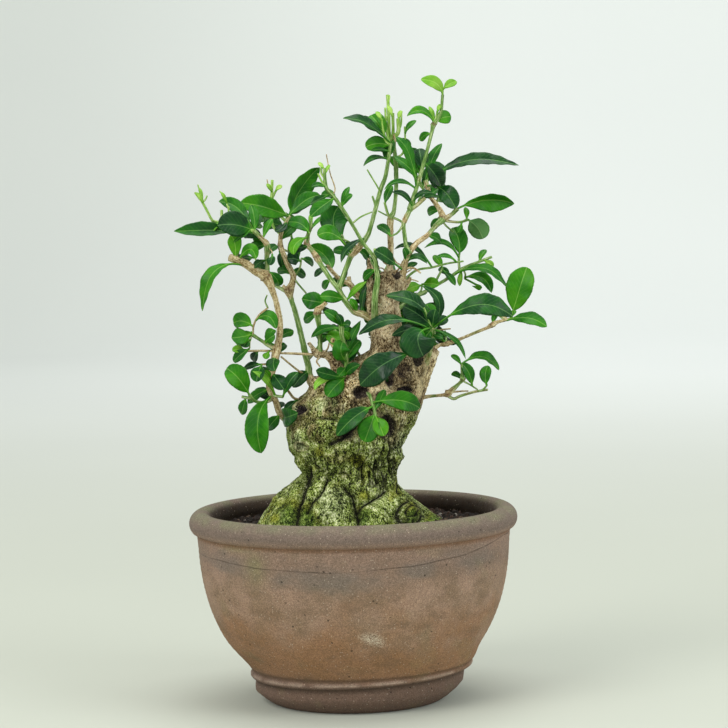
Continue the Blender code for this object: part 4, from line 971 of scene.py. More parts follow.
SMALL_TWIGS = {  # brown, youth, half width at each end, drift in depth, then x and z
    "twigs_left": (
        (0.9, 0, 0.6, 0.5, -6, (-52.9, 201), (-52, 207), (-49, 212.5), (-44, 216.4)),
        (0.5, 0, 0.5, 0.4, -2, (-53.6, 200.6), (-54.3, 198), (-54.5, 194.5)),
        (0.9, 0, 0.7, 0.6, -3, (-41, 192.6), (-48.5, 193), (-57.5, 193)),
        (1, 0, 0.7, 0.6, -2, (-41.5, 186), (-44, 185.5), (-48, 185.5)),
        (1, 0, 1.1, 1, 2, (-32, 225), (-35.4, 228.2)),
        (0.4, 0, 1.1, 0.9, 3, (-32, 224), (-37, 227), (-40.5, 229)),
        (0.3, 0, 0.6, 0.5, -4, (-29.6, 232.6), (-27, 229), (-22.9, 224)),
        (0.7, 0, 0.7, 0.5, -8, (-22.4, 178), (-28, 181.5), (-37.5, 189.5)),
        (0.8, 0, 0.8, 0.6, 0, (-17.4, 189.8), (-30, 191), (-38.5, 191.5)),
        (1, 0, 1.1, 1, -1, (-15.8, 190.6), (-19, 193), (-22, 196.5)),
        (1, 0, 0.9, 0.7, -4, (-26, 163), (-29, 165.8), (-34.4, 171)),
        (0.2, 0, 0.9, 0.8, -1, (-54, 167), (-56.6, 167.4), (-59.5, 168)),
        (0.2, 0, 0.5, 0.4, -4, (-43.4, 216), (-45.4, 220), (-44.3, 223.4)),
        (0.1, 0, 0.9, 0.8, -6, (-42.4, 169), (-40.6, 168), (-37, 167.4)),
        (0.3, 0, 0.6, 0.5, 6, (-30.2, 231), (-26, 238), (-25.1, 243)),
        (0.3, 0, 0.6, 0.5, 5, (-35.6, 248.5), (-30, 246.6), (-26.4, 250)),
        (0.2, 0, 0.6, 0.5, -5, (-20.6, 250.6), (-21.6, 254), (-20.2, 257)),
    ),
    "twigs_center": (
        (1, 0, 1.3, 1.2, 1, (1.3, 228.4), (0.5, 232.4)),
        (1, 0, 1.3, 1.2, 0, (-8.5, 190), (-8.8, 195), (-8.9, 199)),
        (0.2, 0, 0.9, 0.7, -5, (4, 246.4), (-0.4, 249), (-2.6, 255.3)),
        (0.1, 0, 0.6, 0.5, -6, (5.4, 247.4), (2, 251), (-4, 254)),
        (0.3, 0.3, 0.7, 0.6, 3, (25.6, 264), (29, 262.6), (31, 261)),
        (0.3, 0.4, 0.8, 0.7, 1, (24, 263), (22.6, 266.7), (21.1, 272.6)),
        (0.1, 0.5, 0.5, 0.4, -3, (19, 276), (18.5, 279), (12, 290.6)),
        (0.1, 0.4, 0.5, 0.4, -3, (3, 261.3), (8, 265), (14, 267.5)),
        (0.1, 0.4, 0.5, 0.4, 2, (24.6, 264.6), (22, 265.5), (17.5, 268)),
        (0.4, 0, 1.2, 1.1, -3, (35.2, 268.4), (39, 271), (43, 274.5)),
        (0.3, 0, 0.6, 0.5, -4, (31.3, 260), (28, 256), (24, 254)),
        (0.2, 0.1, 0.8, 0.6, 8, (14, 262), (16, 270), (14.6, 276)),
        (0.1, 0.3, 0.5, 0.4, -4, (-1.6, 184), (-2.2, 180), (-2.8, 177)),
    ),
    "twigs_right": (
        (0.5, 0, 1.2, 1, 2, (52.4, 262.6), (54.5, 262.4), (60.3, 268)),
        (0.3, 0, 0.6, 0.5, 3, (53, 262), (54, 259.5), (58.5, 255.5)),
        (0.2, 0, 0.8, 0.6, 3, (61.4, 234), (61, 240), (61.3, 243)),
        (0.2, 0.1, 0.7, 0.5, 4, (29, 229), (37.5, 235), (46.3, 236.5), (55, 238.5), (63.5, 239.5)),
        (0.1, 0.3, 0.5, 0.45, -4, (46, 203.8), (44.5, 206), (41.5, 214.5)),
        (1, 0, 0.6, 0.4, 3, (54.4, 167.2), (60, 168.2), (64.7, 168.3)),
        (
            0.4, 0, 0.9, 0.7, -4, (52.5, 166.2), (56.5, 164.2), (60, 165.5), (65, 167),
            (69.5, 168), (75.4, 168.8),
        ),
        (0.1, 0.2, 0.5, 0.45, 4, (61.2, 174), (65.3, 172), (69.8, 169)),
        (0.1, 0.3, 0.6, 0.5, -3, (69.5, 168), (72.4, 168.6), (75, 171)),
        (1, 0, 0.5, 0.4, 2, (46.4, 202.6), (48.6, 202.3), (55.7, 202.7)),
        (0.2, 0, 0.6, 0.5, -3, (43.6, 283), (41, 276), (39.5, 273)),
        (0.1, 0.2, 0.6, 0.5, 3, (63, 235.5), (64.4, 232.5), (64, 230)),
        (0.2, 0, 0.7, 0.6, 6, (46, 226), (50.6, 233.4), (52, 236)),
        (0.2, 0.1, 0.6, 0.5, 6, (36, 221), (40, 224), (40.5, 227.3)),
    ),
    "twigs_dead": (
        (0.9, 0, 0.6, 0.3, -4, (29, 228), (31, 233), (35, 235.6)),
        (1, 0, 0.5, 0.3, -5, (24, 230), (20, 236), (17.4, 237)),
        (1, 0, 0.5, 0.3, -3, (31.4, 237), (27, 239.6), (24.6, 243.6)),
        (0.8, 0, 0.6, 0.4, -6, (24, 232), (28, 236), (30.4, 240.4)),
        (1, 0, 0.5, 0.3, -5, (29, 228), (34.6, 230), (38.6, 229)),
        (0.8, 0, 0.5, 0.3, -7, (23.4, 238), (19.8, 240), (19, 244)),
        (1, 0, 0.7, 0.5, -4, (31, 236), (36, 236.4), (40, 233.6)),
        (1, 0, 0.4, 0.3, -6, (24, 228), (26, 233.6), (22.4, 236)),
        (1, 0, 0.6, 0.4, -3, (-15.6, 190), (-12, 193), (-10.8, 197)),
        (1, 0, 0.6, 0.4, -4, (-15.4, 189.6), (-18, 186.6), (-16.4, 183.6)),
        (1, 0, 0.5, 0.3, 3, (-36.2, 255), (-37.6, 250.4), (-36.4, 246)),
        (1, 0, 0.4, 0.3, -3, (-43.9, 250), (-41, 247), (-41.6, 242.6)),
    ),
    "shoots_left": (
        (
            0, 0.8, 0.8, 0.7, -4, (-68.6, 264.6), (-71, 264.2), (-73, 264.6), (-76.2, 270.9),
            (-78.2, 274.8),
        ),
        (0, 1, 0.6, 0.5, -2, (-77.8, 274), (-80, 277), (-82.3, 280.3)),
        (0, 1, 0.6, 0.4, -2, (-78, 274.4), (-79, 279), (-80.5, 284.5)),
        (0, 1, 0.5, 0.4, -1, (-78.2, 274.8), (-76.6, 276.4), (-75.6, 278.4)),
        (0.2, 0.5, 0.7, 0.6, 4, (-50.6, 258.6), (-56, 261), (-62, 262.4), (-69, 263.6)),
        (0.1, 0.9, 0.9, 0.8, 1, (-67.4, 264.4), (-67.9, 267), (-67.9, 270.4)),
        (0, 0.9, 0.6, 0.5, 1, (-63, 263.6), (-64.1, 268), (-64.1, 272.4)),
        (0, 1, 0.5, 0.4, 1, (-64, 271), (-66, 277), (-68.6, 280.7)),
        (0, 1, 0.9, 0.8, 3, (-38, 266), (-40.6, 272), (-40.3, 278.6), (-39.9, 286.1)),
        (0, 0.9, 0.8, 0.6, 4, (-40.2, 274), (-38.8, 279), (-37.4, 281.2)),
        (0, 0.8, 0.8, 0.7, 4, (-36.2, 256), (-40, 261), (-41.4, 269.3)),
        (1, 0, 0.4, 0.3, 2, (-40.3, 279), (-42, 283), (-42.7, 286.4)),
    ),
    "shoots_top": (
        (0, 1, 1, 0.9, 1, (27, 304.4), (24.6, 306), (24.4, 320), (24, 331)),
        (0, 1, 0.7, 0.6, 1, (27.4, 307), (26.9, 310), (26.9, 321)),
        (0, 1, 1.2, 1.1, -2, (28, 308), (29.5, 311), (29.5, 318)),
        (0, 1, 0.7, 0.5, -3, (25.2, 304), (22, 307), (20.5, 318)),
        (0, 1, 0.5, 0.4, -4, (25.4, 305), (23.6, 312), (21.6, 318.6)),
        (0, 1, 0.5, 0.4, -5, (25.6, 305), (24.6, 313), (23.3, 319.4)),
        (0, 1, 0.5, 0.4, -4, (26, 305), (26.2, 312), (26.2, 320)),
        (0, 0.8, 0.6, 0.5, 2, (27.6, 297), (31.5, 299), (33, 306), (33, 313.5)),
        (0, 0.9, 0.8, 0.6, 2, (25.4, 303), (23, 312), (22.6, 324)),
        (0, 1, 0.6, 0.5, 3, (29, 309), (31, 315), (31.4, 322)),
        (0, 0.9, 0.7, 0.5, -2, (24.6, 306), (18.6, 311), (17.6, 316.4)),
        (1, 0, 0.4, 0.25, 0, (-7, 277), (-5.8, 281), (-8.2, 289), (-9.7, 297), (-10, 299.5)),
        (0, 1, 0.7, 0.5, -2, (-10.6, 282), (-12.8, 284.6), (-14.9, 289)),
        (0, 1, 0.6, 0.5, 1, (-11.3, 287), (-13, 289), (-13.2, 292.2)),
        (0, 1, 0.9, 0.8, -1, (15, 241.6), (15.2, 244), (15.3, 247.5)),
        (0, 0.9, 0.5, 0.4, -1, (54, 330.2), (54.2, 332.6), (54.2, 334.9)),
        (0, 0.6, 0.6, 0.5, -1, (49, 315), (50.2, 318.4), (50.9, 321.5)),
        (0, 0.9, 0.6, 0.5, 2, (27.6, 303), (21.6, 300), (18.6, 302)),
    ),
}

stem_bark, tree, shader = new_finish("stem_skin", 0.6, Specular_IOR_Level=0.3)
drawn_out = {i: mark_of(tree, mark) for i, mark in enumerate(("wide", "deep", "long"))}
drawn_out = add(tree, "CombineXYZ", drawn_out).outputs[0]
spots, lines = grit_of(tree, 5.0, 1.0, 1.6), grit_of(tree, 1.3, 0.6, 1.0, drawn_out)
streaks = plus(times(lines["Grain"], 0.65), times(lines["Cloud"], 0.35))
grains = plus(times(spots["Grain"], 0.35), times(streaks, 0.65))
green_skin = ramp_of(streaks, (0.1, "45692c"), (0.4, "6a943f"), (0.62, "8fb064"), (0.9, "c4d29a"))
brown_skin = ramp_of(
    grains, (0.16, "4e3a22"), (0.29, "947b51"), (0.45, "bfa676"), (0.64, "dccb9e"),
    (0.9, "f0e6c4"),
)
fresh = ramp_of(streaks, (0.2, "84b944"), (0.6, "a5cf5e"), (0.9, "d6e8a2"))
wavy = plus(mark_of(tree, "brown"), times(spots["Cloud"], 0.3))
color = layered(
    green_skin, (between(wavy, 0.4, 0.85), brown_skin), (mark_of(tree, "youth"), fresh),
    (mark_of(tree, "scar", 0.8), "64452a"), (mark_of(tree, "cut"), "cdbd92"),
)
coat(shader, color, between(mark_of(tree, "brown"), 0.2, 0.9, 0.45, 0.85))
raise_surface(shader, plus(grains, lines["Grain"]), 0.2)


def make_stem(route, radii, brown, youth, around, step, fork=0.0):
    """Points, faces and marks of a stem, its skin uneven and its cut end flat."""
    middle, rays = sweep(route, radii, around, step)
    points, faces = tube_of(middle, rays)
    share = np.append(np.repeat(np.linspace(0, 1, len(middle)), around), (0, 1))
    hue = np.interp(share, *np.array(brown, float).T)
    cut = (share > 0.9999) * np.append(np.zeros(len(points) - 1), 1.0)
    run = np.append(0, np.cumsum(np.linalg.norm(np.diff(middle, axis=0), axis=1)))
    thick = np.linalg.norm(rays, axis=2)
    girth = thick[:, 0]
    old_leaf, knuckle = fork * bell(run, 1.1), np.zeros(len(run))
    for i in range(3, len(run) - 3):
        beside = max(girth[i - 3], girth[i + 3])
        if girth[i] == girth[i - 3:i + 4].max() and girth[i] > 1.04 * beside:
            old_leaf = np.maximum(old_leaf, bell(run - run[i], 1.0))
            knuckle = np.maximum(knuckle, bell(run - run[i], 1.5))
    old_leaf, knuckle = (np.append(np.repeat(v, around), (0, 0)) for v in (old_leaf, knuckle))
    old_leaf = old_leaf * fade(clouds(points, 1.4, 2, 6.0), -0.45, 0.1)
    uneven = 0.07 * clouds(points, 2.4, 2) + 0.05 * clouds(points, 0.9, 2, 4.0)
    uneven = uneven * (0.6 + 0.8 * brown[0][1])
    uneven += knuckle * (0.1 + 0.5 * clouds(points, 1.3, 2, 9.0))
    out = np.vstack([rays.reshape(-1, 3), np.zeros((2, 3))])
    points = points + out * uneven[:, None]
    right, up = np.cos(full_turn(around)), np.sin(full_turn(around))
    marks = {
        "brown": hue, "youth": np.full(len(points), float(youth)), "cut": cut, "scar": old_leaf,
        "wide": np.append(thick * right, (0, 0)) * MM,
        "deep": np.append(thick * up, (0, 0)) * MM,
        # Less than true to size, so that the grain is drawn out along the stem.
        "long": np.append(np.repeat(run, around), (0, run[-1])) * 0.00012,
    }
    return points, faces, marks, middle


def joined(parts):
    """Several parts as one: their points, faces and marks in a row."""
    faces, count = [], 0
    for points, some, *_ in parts:
        faces += [[count + k for k in face] for face in some]
        count += len(points)
    marks = {mark: np.concatenate([p[2][mark] for p in parts]) for mark in parts[0][2]}
    return np.vstack([p[0] for p in parts]), faces, marks


slots = {part["node"]: part["material_slot"] for part in frame["record"]["subparts"]}
routes = {}
for name, (brown, points) in {**TRUNK_STEMS, **SIDE_STEMS}.items():
    route = [drawn(x, z, d) for x, z, d, _ in points]
    half_wide = [p[3] for p in points]
    points, faces, marks, routes[name] = make_stem(route, half_wide, brown, 0, 20, 0.7)
    stem = make_piece(name.replace("_", "-") + "_bark", points, faces, stem_bark, **marks)
    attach(stem, "root")
    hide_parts(name)


def nearest_spot(x, z, name=None):
    """The point on a stem's middle line that the front view shows nearest to x, z."""
    best = (1e9, None)
    for line in (routes.values() if name is None else [routes[name]]):
        at_x, at_z = seen(line)
        far = np.hypot(at_x - x, at_z - z)
        if far.min() < best[0]:
            best = (far.min(), line[far.argmin()])
    return best[1]


for name, twigs in SMALL_TWIGS.items():
    parts = []
    for i, (brown, youth, thick, thin, drift, *line) in enumerate(twigs):
        spot = nearest_spot(*line[0])
        depths = spot[1] + drift * np.linspace(0, 1, len(line))
        route = [spot] + [drawn(x, z, d) for (x, z), d in zip(line[1:], depths[1:])]
        radii = np.linspace(thick, thin, len(line))
        hue = ((0, brown), (1, brown))
        parts.append(make_stem(route, radii, hue, youth, 10, 0.8, 0.9 - 0.6 * youth))
        routes[f"{name}_{i}"] = parts[-1][3]
    points, faces, marks = joined(parts)
    twig = make_piece(name, points, faces, stem_bark, **marks)
    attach(twig, "root")


# The leaves are leathery, glossy and finely toothed, in pairs on short stalks. The blade is
# folded a little along a pale midrib, and its tip bends down. Young leaves are yellow green
# and softer, old ones dark and blue green above and paler below.
LEAVES = {
    # stem, x and z of base, middle and tip, depth of tip and middle, width, lean, stalk, tone
    "leaf_left_far": (
        "stem_left_top", (-50.5, 258), (-71, 259.4), (-94, 260.3), -10, 0, 8.5, 25, 0.3, 0.22,
    ),
    "leaf_left_back": (
        "stem_left_top", (-50.6, 258.6), (-59, 271), (-68.6, 275.6), 10, 6, 8.5, 30, 0.12, 0.32,
    ),
    "leaf_left_broad": (
        "branch_left", (-31, 266), (-44, 271.3), (-57.5, 274.6), -16, -3, 12.5, 18, 0.08, 0.42,
    ),
    "leaf_left_tall": (
        "branch_left", (-31, 266.5), (-24.8, 280.4), (-14, 291.6), 8, 6, 13, -26, 0.1, 0.36,
    ),
    "leaf_left_hanging": (
        "branch_left_low", (-57, 240), (-73, 236.6), (-81.5, 215), -18, -10, 8.5, 40, 0.2, 0.42,
    ),
    "leaf_low_left_round": (
        "twig_left_low", (-55.4, 169), (-61, 178), (-67.6, 184.2), -6, -3, 12, 15, 0.08, 0.42,
    ),
    "leaf_low_left_folded": (
        "branch_left_low", (-42.6, 168.5), (-50.8, 156), (-49.6, 136.2), -14, -5, 13, 4, 0.1, 0.38,
    ),
    "leaf_mid_left": (
        "twig_left_mid", (-53, 202), (-58.6, 200.9), (-64, 200.6), -6, 0, 9.5, 20, 0.15, 0.4,
    ),
    "leaf_center_dark": (
        "stem_left_riser", (3.4, 245.4), (-6.6, 259.4), (-4, 270.4), 10, 6, 15.6, 10, 0.26, 0.25,
    ),
    "leaf_center_level": (
        "stem_left_riser", (2.6, 244.4), (-6.6, 255.6), (-16.5, 255.6), -9, -4, 9.5, 25, 0.35,
        0.42,
    ),
    "leaf_center_left": (
        "branch_top_left", (-8.4, 235.6), (-12, 244), (-20, 249.5), 8, 5, 10, 20, 0.1, 0.35,
    ),
    "leaf_cut_stem": (
        "stem_left_cut", (-12, 218.6), (-18.4, 219.4), (-24.8, 221), 8, 5, 10, 15, 0.1, 0.3,
    ),
    "leaf_top_young": (
        "stem_right_tall", (54, 330.4), (50.6, 336.6), (42.3, 339.3), -6, -2, 7, 25, 0.12, 0.76,
    ),
    "leaf_top_long": (
        "stem_left_riser", (25.2, 304.6), (12.6, 315.4), (-0.5, 320), -8, -3, 8, 55, 0.12, 0.15,
    ),
    "leaf_right_upright": (
        "stem_right", (38.6, 280.5), (35, 298.6), (28.3, 309.3), -8, -4, 8, 45, 0.15, 0.3,
    ),
    "leaf_right_wide": (
        "stem_right_fork", (43.8, 284), (49.6, 288), (55, 289.8), 14, 4, 12, 20, 0.1, 0.25,
    ),
    "leaf_right_long": (
        "stem_right_fork", (44, 283), (66.5, 294.2), (95.2, 292.8), -12, 0, 9, 42, 0.15, 0.12,
    ),
    "leaf_right_drooping": (
        "stem_right_fork", (44.4, 281), (52.8, 278.8), (60.4, 268.4), -22, -6, 10.5, 15, 0.4, 0.12,
    ),
    "leaf_right_twisted": (
        "twig_right_top", (60.8, 268.3), (77, 272.6), (91.6, 269.6), 6, 2, 11, -24, 0.12, 0.36,
    ),
    "leaf_right_under": (
        "twig_right_mid", (66.4, 262.2), (71.6, 257.6), (74.6, 251.4), 6, 2, 11.5, -15, 0.1, 0.3,
    ),
    "leaf_crown_front": (
        "stem_right", (30.4, 235.4), (22, 242.2), (15.2, 247.2), -14, -4, 8.5, 30, 0.25, 0.14,
    ),
    "leaf_big_right": (
        "stem_front_right", (46, 203), (70, 215.4), (91.5, 209.2), -16, -8, 13, 30, 0.2, 0.17,
    ),
    "leaf_end_upright": (
        "branch_right_mid", (89, 207.4), (93.4, 222), (97.8, 235.8), -4, -2, 15, 15, 0.16, 0.45,
    ),
    "leaf_end_level": (
        "branch_right_mid", (86.6, 206.6), (98.4, 207.6), (109.2, 203.2), -10, -3, 9, 40, 0.12,
        0.35,
    ),
    "leaf_lateral_arched": (
        "branch_right_lateral", (58.5, 232.4), (74.6, 235.4), (88, 225.6), -8, -3, 8, 52, 0.12,
        0.3,
    ),
    "leaf_front_hanging": (
        "stem_front_right", (46, 203.4), (38, 199.2), (40.6, 187.4), -12, -6, 19.5, 8, 0.28, 0.1,
    ),
    "leaf_front_left": (
        "stem_front_right", (45.6, 202), (24.5, 208.4), (4, 201.4), -4, -6, 8.5, 40, 0.3, 0.1,
    ),
    "leaf_front_upper": (
        "stem_front_right", (46, 203.8), (37.6, 217), (20.4, 222.6), 2, -3, 8.5, 35, 0.25, 0.12,
    ),
    "leaf_low_right_arched": (
        "branch_right_low", (61.4, 183.2), (72.6, 186.9), (82.6, 180), 8, 3, 8, 50, 0.15, 0.32,
    ),
    "leaf_trunk_broad": (
        "stem_front_right", (44.4, 191), (23, 186.4), (3.8, 172.2), -20, -14, 15.4, 15, 0.28, 0.06,
    ),
    "leaf_trunk_left": (
        "stem_front_left", (-1.8, 186), (-4.6, 191.4), (-2.8, 197.4), -10, -8, 10, 15, 0.15, 0.3,
    ),
    "leaf_trunk_low": (
        "twig_trunk_front", (12.4, 161), (2, 155.4), (-8.6, 145.2), -4, -3, 9.5, 15, 0.12, 0.2,
    ),
    "leaf_trunk_right": (
        "twig_trunk_front", (11.8, 163), (27, 164), (39, 159), 0, -6, 10.5, 10, 0.15, 0.32,
    ),
}
FULL_TIPS = {  # how far along the blade it is widest, where that differs
    "leaf_low_left_folded": 0.64, "leaf_trunk_broad": 0.62, "leaf_center_dark": 0.57,
    "leaf_low_left_round": 0.57, "leaf_left_back": 0.56, "leaf_left_tall": 0.44,
    "leaf_end_upright": 0.56, "leaf_front_hanging": 0.57, "leaf_mid_left": 0.57,
}
FOLDS = {  # how steeply the two halves are folded up, where that differs
    "leaf_low_left_folded": 0.7, "leaf_right_twisted": 0.75, "leaf_left_far": 0.5,
    "leaf_big_right": 0.1,
}
